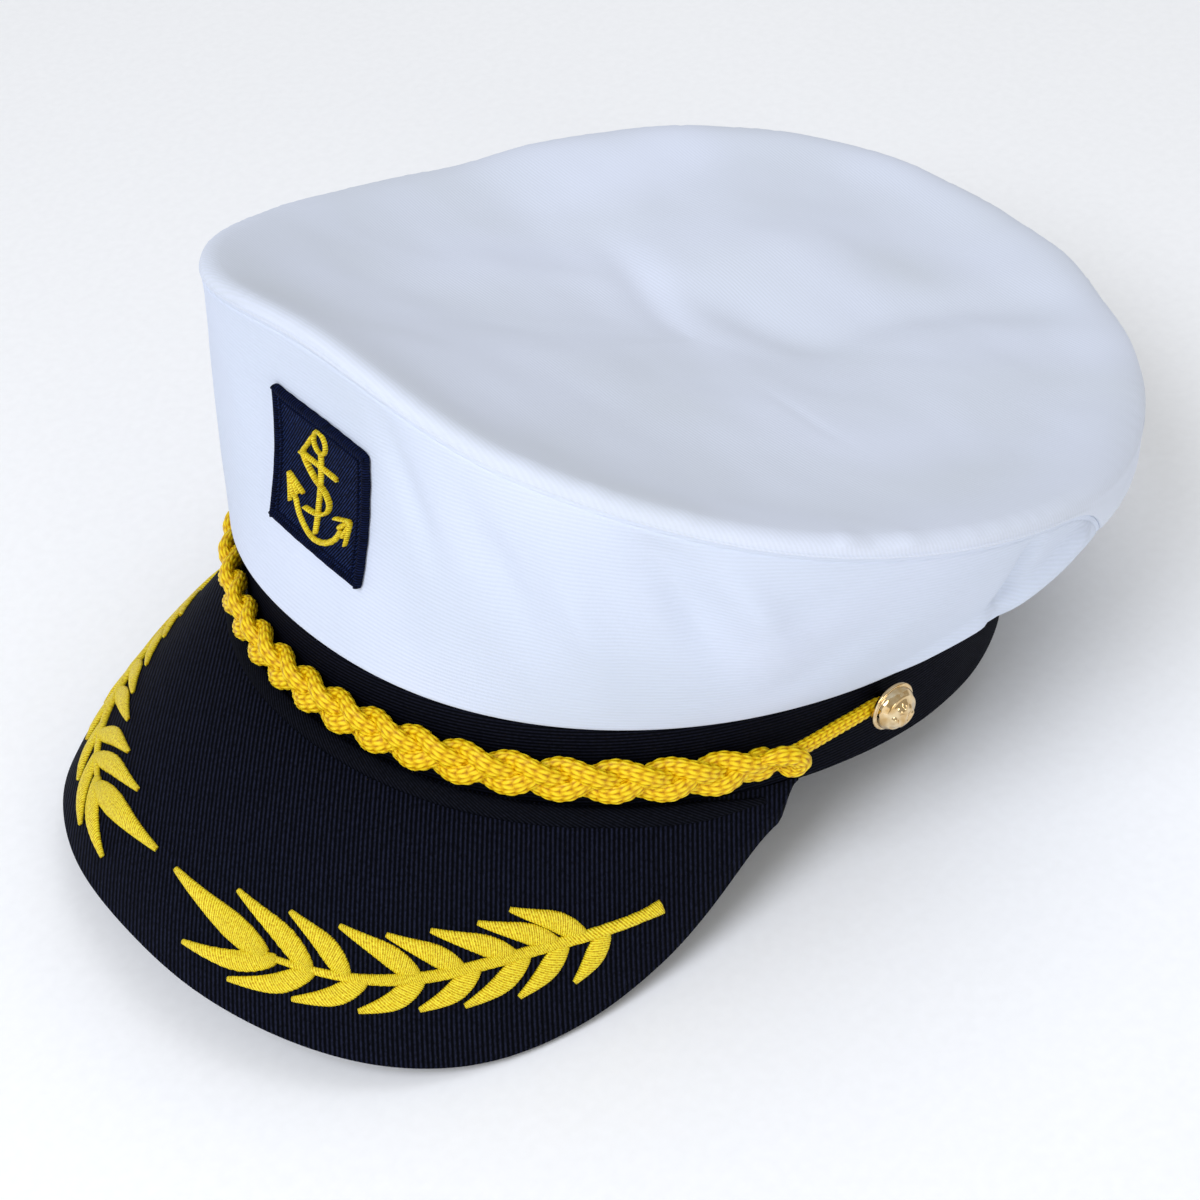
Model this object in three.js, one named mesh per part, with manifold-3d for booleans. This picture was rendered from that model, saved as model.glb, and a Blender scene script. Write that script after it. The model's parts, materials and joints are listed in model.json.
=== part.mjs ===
// Captain hat: a tall white cloth crown on a black band, with a black visor, a gold plait over
// the visor, gold side buttons, a navy anchor patch and gold laurel branches.
// Lengths are millimetres. The hat is built level: the middle of the head opening's lower rim is
// the origin, the front looks along -Y and the wearer's left is +X. It is then tipped back until
// it rests on the visor's edge and the back of the band, as it does on a table.
import * as THREE from 'three';
import { mergeVertices } from 'three/addons/utils/BufferGeometryUtils.js';
import Module from 'manifold-3d';

// Clearance and cloth
const GAP = 0.3;
const CLOTH = 1.8;

// Head band, measured on its outer face
const BAND_HALF_WIDTH = 85;
const BAND_FRONT = 104;
const BAND_BACK = 101;
const BAND_SQUARENESS = 0.021;
const BAND_HEIGHT = 22;
const BAND_WALL = 2.4;

// Crown rim, where the side wall meets the top panel
const CROWN_HALF_WIDTH = 105;
const CROWN_FRONT = 114;
const CROWN_BACK = 119;
const CROWN_SETBACK = 8;
const CROWN_HEIGHT = 97;
const WALL_STEP = 3;
const WALL_BULGE = 8;
const WALL_BEVEL = 0.7;
const TOP_SAG = 7;
const TOP_SWELL = 5;

// Visor, measured from the band's lower rim
const VISOR_THICKNESS = 2.6;
const VISOR_SPREAD = 28.8;
const VISOR_REACH = 49;
const VISOR_DROP = 44.8;
const VISOR_ARCH = 4.5;
const VISOR_ROOT_RISE = 1;
const BINDING_WIDTH = 4.8;
const BINDING_THICKNESS = 1.2;
const BINDING_REACH = 0.93;

// Plait of three cords with its end knots, side cords and buttons. Lifts are shares of the
// band's height, and the plait's half spread and half depth are shares of its cord.
const PLAIT_CORD = 3.4;
const PLAIT_SPREAD_SHARE = 1.066;
const PLAIT_DEPTH_SHARE = 0.82;
const PLAIT_PITCH = 32;
const PLAIT_LIFT_SHARE = 0.49;
const PLAIT_END = 70;
const KNOT_RADIUS = 4;
const KNOT_LENGTH = 7;
const KNOT_SLACK = 1;
const SIDE_CORD = 3.4;
const BUTTON_TURN = 86.3;
const BUTTON_LIFT_SHARE = 0.77;
const BUTTON_RADIUS = 6.2;
const BUTTON_DOME = 3.6;
const BUTTON_RIM = 1.2;
const SHANK_RADIUS = 1.5;

// Anchor patch on the front of the side wall, sewn on slightly turned: the lean is in degrees
const PATCH_WIDTH = 32.5;
const PATCH_HEIGHT = 35.3;
const PATCH_THICKNESS = 0.9;
const PATCH_CENTRE_SHARE = 0.513;
const PATCH_LEAN = 3.5;
const BORDER_WIDTH = 2.2;
const BORDER_THICKNESS = 1.6;
const ANCHOR_MARGIN = 1;
const ANCHOR_WIDTH_SHARE = 0.94;
const ANCHOR_THICKNESS = 1;

// Laurel branches on the visor
const LEAF_WIDTH = 5.4;
const LEAF_THICKNESS = 1.1;
const STEM_WIDTH = 1.8;

// Mesh fineness
const STEPS_ROUND = 60;
const STEPS_WALL = 5;
const STEPS_TOP = 7;
const STEPS_VISOR = 32;
const STEPS_REACH = 7;

// Rim of the crown every 30 degrees from the front, turning to the wearer's left: how far out it
// lies as a share of the crown's oval, how high as a share of the crown's height, how much of the
// wall's bulge is under it, and how far the wall's foot stands out past the band as a share of
// the wall's step. The left is a little lower than the right, as the cloth settled.
const RIM = [
  { reach: 1.0, height: 0.985, bulge: -0.6, foot: 0.3 },
  { reach: 1.027, height: 0.902, bulge: 0, foot: 0.3 },
  { reach: 1.05, height: 0.807, bulge: 0.15, foot: 0.3 },
  { reach: 1.03, height: 0.729, bulge: 0.45, foot: 0.3 },
  { reach: 0.985, height: 0.64, bulge: 0.8, foot: 0.3 },
  { reach: 1.0, height: 0.625, bulge: 0.95, foot: 0.3 },
  { reach: 1.04, height: 0.665, bulge: 1.0, foot: 0.3 },
  { reach: 1.004, height: 0.745, bulge: 0.9, foot: 0.3 },
  { reach: 0.985, height: 0.735, bulge: 0.7, foot: 0.3 },
  { reach: 1.0, height: 0.675, bulge: 0.4, foot: 0.5 },
  { reach: 1.03, height: 0.745, bulge: 0.2, foot: 1.2 },
  { reach: 1.05, height: 0.877, bulge: 0, foot: 1.2 },
];

// Edge of the visor on one side, from its middle to where it meets the band: the turn of its root
// on the band in degrees, and how far the edge lies to the side, ahead and down, as shares of the
// visor's spread, reach and drop.
const VISOR_EDGE = [
  { turn: 0, side: 0.0, ahead: 0.976, down: 0.881 },
  { turn: 9, side: 0.422, ahead: 0.946, down: 0.897 },
  { turn: 18, side: 0.745, ahead: 0.827, down: 0.936 },
  { turn: 27, side: 0.902, ahead: 0.66, down: 0.968 },
  { turn: 36, side: 0.895, ahead: 0.463, down: 0.955 },
  { turn: 45.5, side: 0.74, ahead: 0.278, down: 0.858 },
  { turn: 55.5, side: 0.5, ahead: 0.135, down: 0.652 },
  { turn: 65.5, side: 0.26, ahead: 0.045, down: 0.33 },
  { turn: 75, side: 0.08, ahead: 0.01, down: 0.08 },
];

// Soft folds in the top panel: place across and along the panel as shares of the crown's half
// width and length, heading in degrees, half length and half width as shares of the half width,
// and height as a share of the swell.
const TOP_FOLDS = [
  { across: -0.35, along: 0.0, heading: 60, length: 0.55, width: 0.12, height: 0.35 },
  { across: -0.1, along: 0.45, heading: 35, length: 0.5, width: 0.14, height: 0.3 },
  { across: 0.45, along: 0.35, heading: 80, length: 0.4, width: 0.2, height: 0.45 },
];

// Laurel stem and leaf tips of one branch on the visor: along is a share of the visor's half
// length from its middle to its end, and out a share of the way from the band to the edge.
const STEM = [
  { along: 0.1, out: 0.842 },
  { along: 0.2, out: 0.822 },
  { along: 0.31, out: 0.79 },
  { along: 0.4, out: 0.749 },
  { along: 0.5, out: 0.697 },
  { along: 0.6, out: 0.681 },
  { along: 0.745, out: 0.738 },
];
const LEAVES = [
  { root: 0.19, along: 0.022, out: 0.77 },
  { root: 0.25, along: 0.118, out: 0.692 },
  { root: 0.3, along: 0.198, out: 0.666 },
  { root: 0.395, along: 0.27, out: 0.645 },
  { root: 0.455, along: 0.338, out: 0.629 },
  { root: 0.53, along: 0.4, out: 0.588 },
  { root: 0.59, along: 0.468, out: 0.551 },
  { root: 0.63, along: 0.515, out: 0.504 },
  { root: 0.205, along: 0.085, out: 0.926 },
  { root: 0.255, along: 0.158, out: 0.941 },
  { root: 0.325, along: 0.24, out: 0.91 },
  { root: 0.4, along: 0.325, out: 0.884 },
  { root: 0.475, along: 0.403, out: 0.853 },
  { root: 0.545, along: 0.463, out: 0.842 },
  { root: 0.6, along: 0.537, out: 0.842 },
  { root: 0.66, along: 0.615, out: 0.863 },
];

const wasm = await Module();
wasm.setup();

const radians = THREE.MathUtils.degToRad;
const mix = THREE.MathUtils.lerp;

function finish(colour, roughness, metalness = 0) {
  return new THREE.MeshStandardMaterial({ color: colour, roughness, metalness });
}

const whiteTwill = finish('#e6ebf6', 0.85);
const blackRib = finish('#0b0d15', 0.75);
const goldCord = finish('#f0c41c', 0.6);
const goldThread = finish('#f3d229', 0.5);
const brass = finish('#d9bf7e', 0.25, 1);
const navyFelt = finish('#141b3d', 0.85);

// Smooth value through four neighbours, used by every table.
function blend(a, b, c, d, t) {
  const slope = c - a;
  const bend = 2 * a - 5 * b + 4 * c - d;
  const twist = 3 * b - a - 3 * c + d;
  return b + 0.5 * t * (slope + t * (bend + t * twist));
}

function roundTable(rows, key, turn) {
  const place = (((turn % 360) + 360) % 360) / 360 * rows.length;
  const row = Math.floor(place) % rows.length;
  const at = (step) => rows[(row + step + rows.length) % rows.length][key];
  return blend(at(-1), at(0), at(1), at(2), place - Math.floor(place));
}

function openTable(rows, key, share, mirrored) {
  const last = rows.length - 1;
  const place = THREE.MathUtils.clamp(share, 0, 1) * last;
  const row = Math.min(Math.floor(place), last - 1);
  const at = (index) => {
    if (index < 0) {
      return mirrored ? mirrored * rows[1][key] : 2 * rows[0][key] - rows[1][key];
    }
    return index > last ? 2 * rows[last][key] - rows[last - 1][key] : rows[index][key];
  };
  return blend(at(row - 1), at(row), at(row + 1), at(row + 2), place - row);
}

// Band outline in plan, with an offset outward.
function bandOutline(turn) {
  const angle = radians(turn);
  const ahead = Math.cos(angle);
  const square = ahead > 0 ? 1 + BAND_SQUARENESS * Math.sin(2 * angle) ** 2 : 1;
  const length = ahead > 0 ? BAND_FRONT : BAND_BACK;
  return new THREE.Vector2(BAND_HALF_WIDTH * Math.sin(angle) * square, -length * ahead * square);
}

function outwardAt(outline, turn) {
  const step = 0.5;
  const along = outline(turn + step).sub(outline(turn - step)).normalize();
  return new THREE.Vector2(along.y, -along.x);
}

function onBand(turn, offset, height) {
  const out = outwardAt(bandOutline, turn);
  const base = bandOutline(turn).addScaledVector(out, offset);
  return new THREE.Vector3(base.x, base.y, height);
}

// Crown rim and side wall.
function rimPoint(turn) {
  const angle = radians(turn);
  const reach = roundTable(RIM, 'reach', turn);
  const length = Math.cos(angle) > 0 ? CROWN_FRONT : CROWN_BACK;
  return new THREE.Vector3(
    CROWN_HALF_WIDTH * reach * Math.sin(angle),
    CROWN_SETBACK - length * reach * Math.cos(angle),
    CROWN_HEIGHT * roundTable(RIM, 'height', turn),
  );
}

const wallFoot = BAND_HEIGHT + GAP;

function wallPoint(turn, share, inward) {
  const out = outwardAt(bandOutline, turn);
  const foot = onBand(turn, WALL_STEP * roundTable(RIM, 'foot', turn), wallFoot);
  const rim = rimPoint(turn);
  rim.z -= CLOTH + GAP;
  const bulge = WALL_BULGE * roundTable(RIM, 'bulge', turn) * 4 * share * (1 - share);
  const point = foot.lerp(rim, share);
  point.x += out.x * (bulge - inward);
  point.y += out.y * (bulge - inward);
  point.z -= Math.max(inward, 0) * share * WALL_BEVEL;
  return point;
}

// Spot on the front of the wall at a distance to the side and a height, lifted off the cloth.
function onWall(side, height, lift) {
  const rise = rimPoint(0).z - CLOTH - GAP - wallFoot;
  let turn = 0;
  let point = wallPoint(turn, (height - wallFoot) / rise, -lift);
  for (let pass = 0; pass < 12; pass += 1) {
    const top = rimPoint(turn).z - CLOTH - GAP;
    point = wallPoint(turn, (height - wallFoot) / (top - wallFoot), -lift);
    turn += THREE.MathUtils.radToDeg((side - point.x) / BAND_HALF_WIDTH);
  }
  return point;
}

// Top panel: sags behind its front edge and swells at the back, with a few soft folds.
const topMiddle = new THREE.Vector2(0, CROWN_SETBACK);
const rimTurns = Array.from({ length: RIM.length }, (_, row) => (row * 360) / RIM.length);
const rimMean = rimTurns.reduce((sum, turn) => sum + rimPoint(turn).z, 0) / RIM.length;

function foldHeight(across, along) {
  return TOP_FOLDS.reduce((sum, fold) => {
    const heading = radians(fold.heading);
    const dx = across - fold.across;
    const dy = along - fold.along;
    const down = (dx * Math.cos(heading) + dy * Math.sin(heading)) / fold.length;
    const over = (dy * Math.cos(heading) - dx * Math.sin(heading)) / fold.width;
    return sum + fold.height * TOP_SWELL * Math.exp(-down * down - over * over);
  }, 0);
}

function topPoint(turn, share, drop) {
  const rim = rimPoint(turn);
  const x = mix(topMiddle.x, rim.x, share);
  const y = mix(topMiddle.y, rim.y, share);
  const inside = 1 - share ** 3;
  const ahead = (topMiddle.y - y) / CROWN_FRONT;
  const swell = TOP_SWELL * Math.exp(-(((ahead + 0.5) / 0.35) ** 2));
  const folds = foldHeight(x / CROWN_HALF_WIDTH, (y - topMiddle.y) / CROWN_BACK);
  const level = mix(rimMean, rim.z, share ** 1.2);
  return new THREE.Vector3(x, y, level + inside * (swell + folds - TOP_SAG) - drop);
}

// Visor surface: along runs from -1 at the wearer's right to 1 at the left, out from 0 at the
// band to 1 at the edge.
function visorEdge(along) {
  const share = Math.abs(along);
  const turn = Math.sign(along) * openTable(VISOR_EDGE, 'turn', share, -1);
  const root = onBand(turn, GAP, VISOR_ROOT_RISE);
  const side = Math.sign(along) * VISOR_SPREAD * openTable(VISOR_EDGE, 'side', share, -1);
  const ahead = VISOR_REACH * openTable(VISOR_EDGE, 'ahead', share, 1);
  const down = VISOR_DROP * openTable(VISOR_EDGE, 'down', share, 1);
  const edge = new THREE.Vector3(root.x + side, root.y - ahead, root.z - down);
  return { root, edge };
}

function visorPoint(along, out) {
  const { root, edge } = visorEdge(along);
  const point = root.lerp(edge, out);
  point.z += VISOR_ARCH * 4 * out * (1 - out) * Math.min(1, 3 * (1 - Math.abs(along)));
  return point;
}

function visorNormal(along, out) {
  const step = 0.01;
  const nearEnd = Math.min(Math.max(along, step - 1), 1 - step);
  const nearEdge = Math.min(Math.max(out, step), 1 - step);
  const across = visorPoint(nearEnd + step, nearEdge).sub(visorPoint(nearEnd - step, nearEdge));
  const away = visorPoint(nearEnd, nearEdge + step).sub(visorPoint(nearEnd, nearEdge - step));
  return away.cross(across).normalize();
}

function onVisor(along, out, lift) {
  return visorPoint(along, out).addScaledVector(visorNormal(along, out), lift);
}

// Closed mesh from points and faces, turned right side out.
function closedMesh(points, faces) {
  const volume = faces.reduce((sum, [a, b, c]) => {
    return sum + points[a].dot(points[b].clone().cross(points[c]));
  }, 0);
  const index = faces.flatMap(([a, b, c]) => (volume < 0 ? [a, c, b] : [a, b, c]));
  const geometry = new THREE.BufferGeometry().setFromPoints(points);
  geometry.setIndex(index);
  geometry.computeVertexNormals();
  return geometry;
}

// Wall between an outer and an inner grid of points, closed along its borders. A grid that goes
// around meets itself at its ends.
function shell(outer, inner, around) {
  const rows = outer.length;
  const columns = outer[0].length;
  const points = [...outer.flat(), ...inner.flat()];
  const inside = rows * columns;
  const faces = [];
  const quad = (a, b, c, d) => faces.push([a, b, c], [a, c, d]);
  const at = (row, column) => row * columns + (column % columns);
  const spans = around ? columns : columns - 1;
  for (let row = 0; row < rows - 1; row += 1) {
    for (let column = 0; column < spans; column += 1) {
      const corners = [at(row, column), at(row, column + 1), at(row + 1, column + 1), at(row + 1, column)];
      quad(...corners);
      const [a, b, c, d] = corners.map((corner) => corner + inside);
      quad(d, c, b, a);
    }
  }
  for (let column = 0; column < spans; column += 1) {
    const low = [at(0, column), at(0, column + 1)];
    const high = [at(rows - 1, column), at(rows - 1, column + 1)];
    quad(low[1], low[0], low[0] + inside, low[1] + inside);
    quad(high[0], high[1], high[1] + inside, high[0] + inside);
  }
  if (!around) {
    for (let row = 0; row < rows - 1; row += 1) {
      const first = [at(row, 0), at(row + 1, 0)];
      const final = [at(row, columns - 1), at(row + 1, columns - 1)];
      quad(first[0], first[1], first[1] + inside, first[0] + inside);
      quad(final[1], final[0], final[0] + inside, final[1] + inside);
    }
  }
  return closedMesh(points, faces);
}

function grid(rows, columns, place) {
  return Array.from({ length: rows }, (_, row) => (
    Array.from({ length: columns }, (__, column) => place(row, column))
  ));
}

function roundTurn(column) {
  return (column * 360) / STEPS_ROUND;
}

function bandGeometry() {
  const face = (offset) => grid(2, STEPS_ROUND, (row, column) => (
    onBand(roundTurn(column), offset, row * BAND_HEIGHT)
  ));
  return shell(face(0), face(-BAND_WALL), true);
}

function wallGeometry() {
  const face = (inward) => grid(STEPS_WALL + 1, STEPS_ROUND, (row, column) => (
    wallPoint(roundTurn(column), row / STEPS_WALL, inward)
  ));
  return shell(face(0), face(CLOTH), true);
}

function topGeometry() {
  const points = [topPoint(0, 0, 0), topPoint(0, 0, CLOTH)];
  const faces = [];
  const at = (side, ring, column) => (
    2 + (side * STEPS_TOP + ring - 1) * STEPS_ROUND + (column % STEPS_ROUND)
  );
  for (const drop of [0, CLOTH]) {
    for (let ring = 1; ring <= STEPS_TOP; ring += 1) {
      for (let column = 0; column < STEPS_ROUND; column += 1) {
        points.push(topPoint(roundTurn(column), ring / STEPS_TOP, drop));
      }
    }
  }
  for (let column = 0; column < STEPS_ROUND; column += 1) {
    faces.push([0, at(0, 1, column), at(0, 1, column + 1)]);
    faces.push([1, at(1, 1, column + 1), at(1, 1, column)]);
    for (let ring = 1; ring < STEPS_TOP; ring += 1) {
      const [a, b] = [at(0, ring, column), at(0, ring, column + 1)];
      const [c, d] = [at(0, ring + 1, column + 1), at(0, ring + 1, column)];
      faces.push([a, d, c], [a, c, b]);
      const below = STEPS_TOP * STEPS_ROUND;
      faces.push([a + below, c + below, d + below], [a + below, b + below, c + below]);
    }
    const [a, b] = [at(0, STEPS_TOP, column), at(0, STEPS_TOP, column + 1)];
    const [c, d] = [at(1, STEPS_TOP, column + 1), at(1, STEPS_TOP, column)];
    faces.push([a, d, c], [a, c, b]);
  }
  return closedMesh(points, faces);
}

function visorGeometry() {
  const steepest = 0.5;
  const along = (column) => (2 * column) / STEPS_VISOR - 1;
  const upper = grid(STEPS_REACH + 1, STEPS_VISOR + 1, (row, column) => (
    visorPoint(along(column), row / STEPS_REACH)
  ));
  const lower = grid(STEPS_REACH + 1, STEPS_VISOR + 1, (row, column) => {
    const level = Math.max(visorNormal(along(column), row / STEPS_REACH).z, steepest);
    const point = upper[row][column].clone();
    point.z -= VISOR_THICKNESS / level;
    return point;
  });
  return shell(upper, lower, false);
}

// Plain strip along the visor's root, under the plait. It is domed across, and near its ends it
// narrows with the visor.
function bindingGeometry() {
  const widestShare = 0.6;
  const borderRise = 0.7;
  const strip = (lift) => grid(3, STEPS_VISOR + 1, (row, column) => {
    const along = BINDING_REACH * ((2 * column) / STEPS_VISOR - 1);
    const { root, edge } = visorEdge(along);
    const width = Math.min(BINDING_WIDTH / root.distanceTo(edge), widestShare);
    const crown = row === 1 ? lift : lift * borderRise;
    const start = BINDING_THICKNESS / root.distanceTo(edge);
    return onVisor(along, start + width * (row / 2), GAP + crown);
  });
  return shell(strip(BINDING_THICKNESS), strip(0), false);
}

// Length of the band's outline from the front to a turn.
function outlineLength(turn) {
  const steps = 90;
  let length = 0;
  for (let step = 0; step < steps; step += 1) {
    const from = bandOutline((turn * step) / steps);
    length += from.distanceTo(bandOutline((turn * (step + 1)) / steps));
  }
  return length;
}

const plaitLift = BAND_HEIGHT * PLAIT_LIFT_SHARE;
const buttonLift = BAND_HEIGHT * BUTTON_LIFT_SHARE;
const plaitHalfSpread = PLAIT_CORD * PLAIT_SPREAD_SHARE;
const plaitHalfDepth = PLAIT_CORD * PLAIT_DEPTH_SHARE;

class PlaitStrand extends THREE.Curve {
  constructor(phase) {
    super();
    this.phase = phase;
    this.waves = (2 * outlineLength(PLAIT_END)) / PLAIT_PITCH;
  }

  getPoint(share, target = new THREE.Vector3()) {
    const swing = 2 * Math.PI * (this.waves * (share - 0.5) + this.phase);
    const turn = PLAIT_END * (2 * share - 1);
    const depth = PLAIT_CORD / 2 + GAP + plaitHalfDepth * (1 - Math.sin(2 * swing));
    const height = plaitLift + plaitHalfSpread * Math.sin(swing);
    return target.copy(onBand(turn, depth, height));
  }
}

function cordSection(diameter, sides) {
  const corners = Array.from({ length: sides }, (_, side) => {
    const angle = (2 * Math.PI * side) / sides;
    return new THREE.Vector2(Math.cos(angle), Math.sin(angle)).multiplyScalar(diameter / 2);
  });
  return new THREE.Shape(corners);
}

function strandGeometry(phase) {
  const sides = 6;
  const stepsPerWave = 9;
  const path = new PlaitStrand(phase);
  const steps = Math.round(path.waves * stepsPerWave);
  return new THREE.ExtrudeGeometry(cordSection(PLAIT_CORD, sides), { steps, extrudePath: path });
}

// Knot at the plait's end: a wrapped barrel whose axis follows the band.
const degreePerMm = THREE.MathUtils.radToDeg(1 / BAND_FRONT);
const knotTurn = PLAIT_END + (2 * GAP + KNOT_LENGTH / 2 + KNOT_SLACK) * degreePerMm;
const knotOffset = KNOT_RADIUS + GAP;

function knotGeometry(hand) {
  const profile = [
    [0, 0],
    [0.8, 0],
    [1, 0.15],
    [0.92, 0.33],
    [1, 0.5],
    [0.9, 0.68],
    [0.95, 0.85],
    [0.6, 1],
    [0, 1],
  ].map(([radius, rise]) => new THREE.Vector2(radius * KNOT_RADIUS, rise * KNOT_LENGTH));
  const geometry = new THREE.LatheGeometry(profile, 12);
  const middle = onBand(hand * knotTurn, knotOffset, plaitLift);
  const ahead = onBand(hand * (knotTurn + 1), knotOffset, plaitLift).sub(middle).normalize();
  const turn = new THREE.Quaternion().setFromUnitVectors(new THREE.Vector3(0, 1, 0), ahead);
  geometry.translate(0, -KNOT_LENGTH / 2, 0);
  geometry.applyQuaternion(turn);
  geometry.translate(middle.x, middle.y, middle.z);
  return geometry;
}

function sideCordGeometry(hand) {
  const offset = SIDE_CORD / 2 + GAP;
  const start = knotTurn + (KNOT_LENGTH / 2 + 2 * GAP) * degreePerMm;
  const end = BUTTON_TURN - (SHANK_RADIUS + GAP) * degreePerMm;
  const stops = [0, 0.33, 0.67, 1].map((share) => (
    onBand(hand * mix(start, end, share), offset, mix(plaitLift, buttonLift, share))
  ));
  const path = new THREE.CatmullRomCurve3(stops);
  return new THREE.ExtrudeGeometry(cordSection(SIDE_CORD, 8), { steps: 6, extrudePath: path });
}

// Domed button on a short shank that passes behind the side cord.
function buttonGeometry(hand) {
  const back = SIDE_CORD + 2 * GAP;
  const profile = [
    [0, GAP],
    [SHANK_RADIUS, GAP],
    [SHANK_RADIUS, back],
    [BUTTON_RADIUS, back],
    [BUTTON_RADIUS, back + BUTTON_RIM],
    [BUTTON_RADIUS * 0.9, back + BUTTON_RIM],
    [BUTTON_RADIUS * 0.75, back + BUTTON_RIM + BUTTON_DOME * 0.5],
    [BUTTON_RADIUS * 0.45, back + BUTTON_RIM + BUTTON_DOME * 0.88],
    [0, back + BUTTON_RIM + BUTTON_DOME],
  ].map(([radius, rise]) => new THREE.Vector2(radius, rise));
  const geometry = new THREE.LatheGeometry(profile, 20);
  const seat = onBand(hand * BUTTON_TURN, 0, buttonLift);
  const out = outwardAt(bandOutline, hand * BUTTON_TURN);
  const facing = new THREE.Vector3(out.x, out.y, 0);
  const turn = new THREE.Quaternion().setFromUnitVectors(new THREE.Vector3(0, 1, 0), facing);
  geometry.applyQuaternion(turn);
  geometry.translate(seat.x, seat.y, seat.z);
  return geometry;
}

// Patch, border and anchor are drawn flat and bent on to the wall.
const patchHeight = mix(wallFoot, rimPoint(0).z, PATCH_CENTRE_SHARE);
const patchLean = THREE.MathUtils.degToRad(PATCH_LEAN);
const patchMargin = BORDER_WIDTH + GAP;
const anchorInset = 2 * (patchMargin + ANCHOR_MARGIN);
const anchorHeight = Math.min(PATCH_HEIGHT - anchorInset, (PATCH_WIDTH - anchorInset) / ANCHOR_WIDTH_SHARE);

function onPatch(side, rise, lift) {
  const across = side * Math.cos(patchLean) + rise * Math.sin(patchLean);
  const up = rise * Math.cos(patchLean) - side * Math.sin(patchLean);
  return onWall(across, patchHeight + up, lift);
}

function patchGeometry() {
  const steps = 6;
  const face = (lift) => grid(steps + 1, steps + 1, (row, column) => {
    const side = (PATCH_WIDTH / 2 - patchMargin) * ((2 * column) / steps - 1);
    const rise = (PATCH_HEIGHT / 2 - patchMargin) * ((2 * row) / steps - 1);
    return onPatch(side, rise, lift);
  });
  return shell(face(GAP + PATCH_THICKNESS), face(GAP), false);
}

function borderGeometry() {
  const steps = 6;
  const loop = (inset, lift) => {
    const spots = [];
    const corners = [[-1, -1], [1, -1], [1, 1], [-1, 1]];
    corners.forEach(([side, rise], corner) => {
      const [nextSide, nextRise] = corners[(corner + 1) % corners.length];
      for (let step = 0; step < steps; step += 1) {
        const across = (PATCH_WIDTH / 2 - inset) * mix(side, nextSide, step / steps);
        const up = (PATCH_HEIGHT / 2 - inset) * mix(rise, nextRise, step / steps);
        spots.push(onPatch(across, up, lift));
      }
    });
    return spots;
  };
  const insets = [0, BORDER_WIDTH / 2, BORDER_WIDTH];
  const rises = [0.7, 1, 0.7];
  const upper = insets.map((inset, row) => loop(inset, GAP + BORDER_THICKNESS * rises[row]));
  const lower = insets.map((inset) => loop(inset, GAP));
  return shell(upper, lower, true);
}

function toSolid(geometry) {
  const bare = geometry.clone();
  bare.deleteAttribute('normal');
  bare.deleteAttribute('uv');
  const merged = mergeVertices(bare, 1e-4);
  return new wasm.Manifold(new wasm.Mesh({
    numProp: 3,
    vertProperties: new Float32Array(merged.attributes.position.array),
    triVerts: new Uint32Array(merged.index.array),
  }));
}

function fromSolid(solid) {
  const mesh = solid.getMesh();
  const geometry = new THREE.BufferGeometry();
  geometry.setAttribute('position', new THREE.BufferAttribute(new Float32Array(mesh.vertProperties), 3));
  geometry.setIndex(new THREE.BufferAttribute(new Uint32Array(mesh.triVerts), 1));
  geometry.computeVertexNormals();
  return geometry;
}

function joined(geometries) {
  return fromSolid(geometries.map(toSolid).reduce((whole, piece) => whole.add(piece)));
}

// Traditional fouled anchor, drawn in shares of its height with its middle at the origin.
const anchorParts = {
  shank: [[-0.03, -0.42], [0.03, -0.42], [0.03, 0.32], [-0.03, 0.32]],
  stock: [[-0.19, 0.16], [0.19, 0.16], [0.19, 0.22], [-0.19, 0.22]],
  leftFluke: [[-0.44, 0.12], [-0.47, -0.15], [-0.39, -0.2], [-0.27, -0.1]],
  rightFluke: [[0.44, 0.12], [0.27, -0.1], [0.39, -0.2], [0.47, -0.15]],
};

function anchorArms() {
  const shape = new THREE.Shape();
  const from = radians(196);
  const to = radians(344);
  shape.absarc(0, -0.05, 0.44, from, to, false);
  shape.absarc(0, 0.02, 0.41, radians(340), radians(200), true);
  shape.closePath();
  return shape;
}

function anchorRing() {
  const shape = new THREE.Shape();
  shape.absarc(0, 0.4, 0.1, 0, 2 * Math.PI, false);
  const hole = new THREE.Path();
  hole.absarc(0, 0.4, 0.055, 0, 2 * Math.PI, true);
  shape.holes.push(hole);
  return shape;
}

function anchorRope() {
  const turns = [
    [-0.1, 0.4],
    [-0.17, 0.27],
    [-0.09, 0.06],
    [0.06, -0.04],
    [0.12, -0.16],
    [0.02, -0.25],
    [-0.16, -0.22],
  ];
  const path = new THREE.SplineCurve(turns.map(([x, y]) => new THREE.Vector2(x, y)));
  const width = 0.022;
  const steps = 14;
  const middle = path.getPoints(steps);
  const sideAt = (point, index) => {
    const tangent = path.getTangent(index / steps);
    return new THREE.Vector2(-tangent.y, tangent.x).multiplyScalar(width).add(point);
  };
  const otherAt = (point, index) => point.clone().multiplyScalar(2).sub(sideAt(point, index));
  return new THREE.Shape([...middle.map(sideAt), ...middle.map(otherAt).reverse()]);
}

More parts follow.
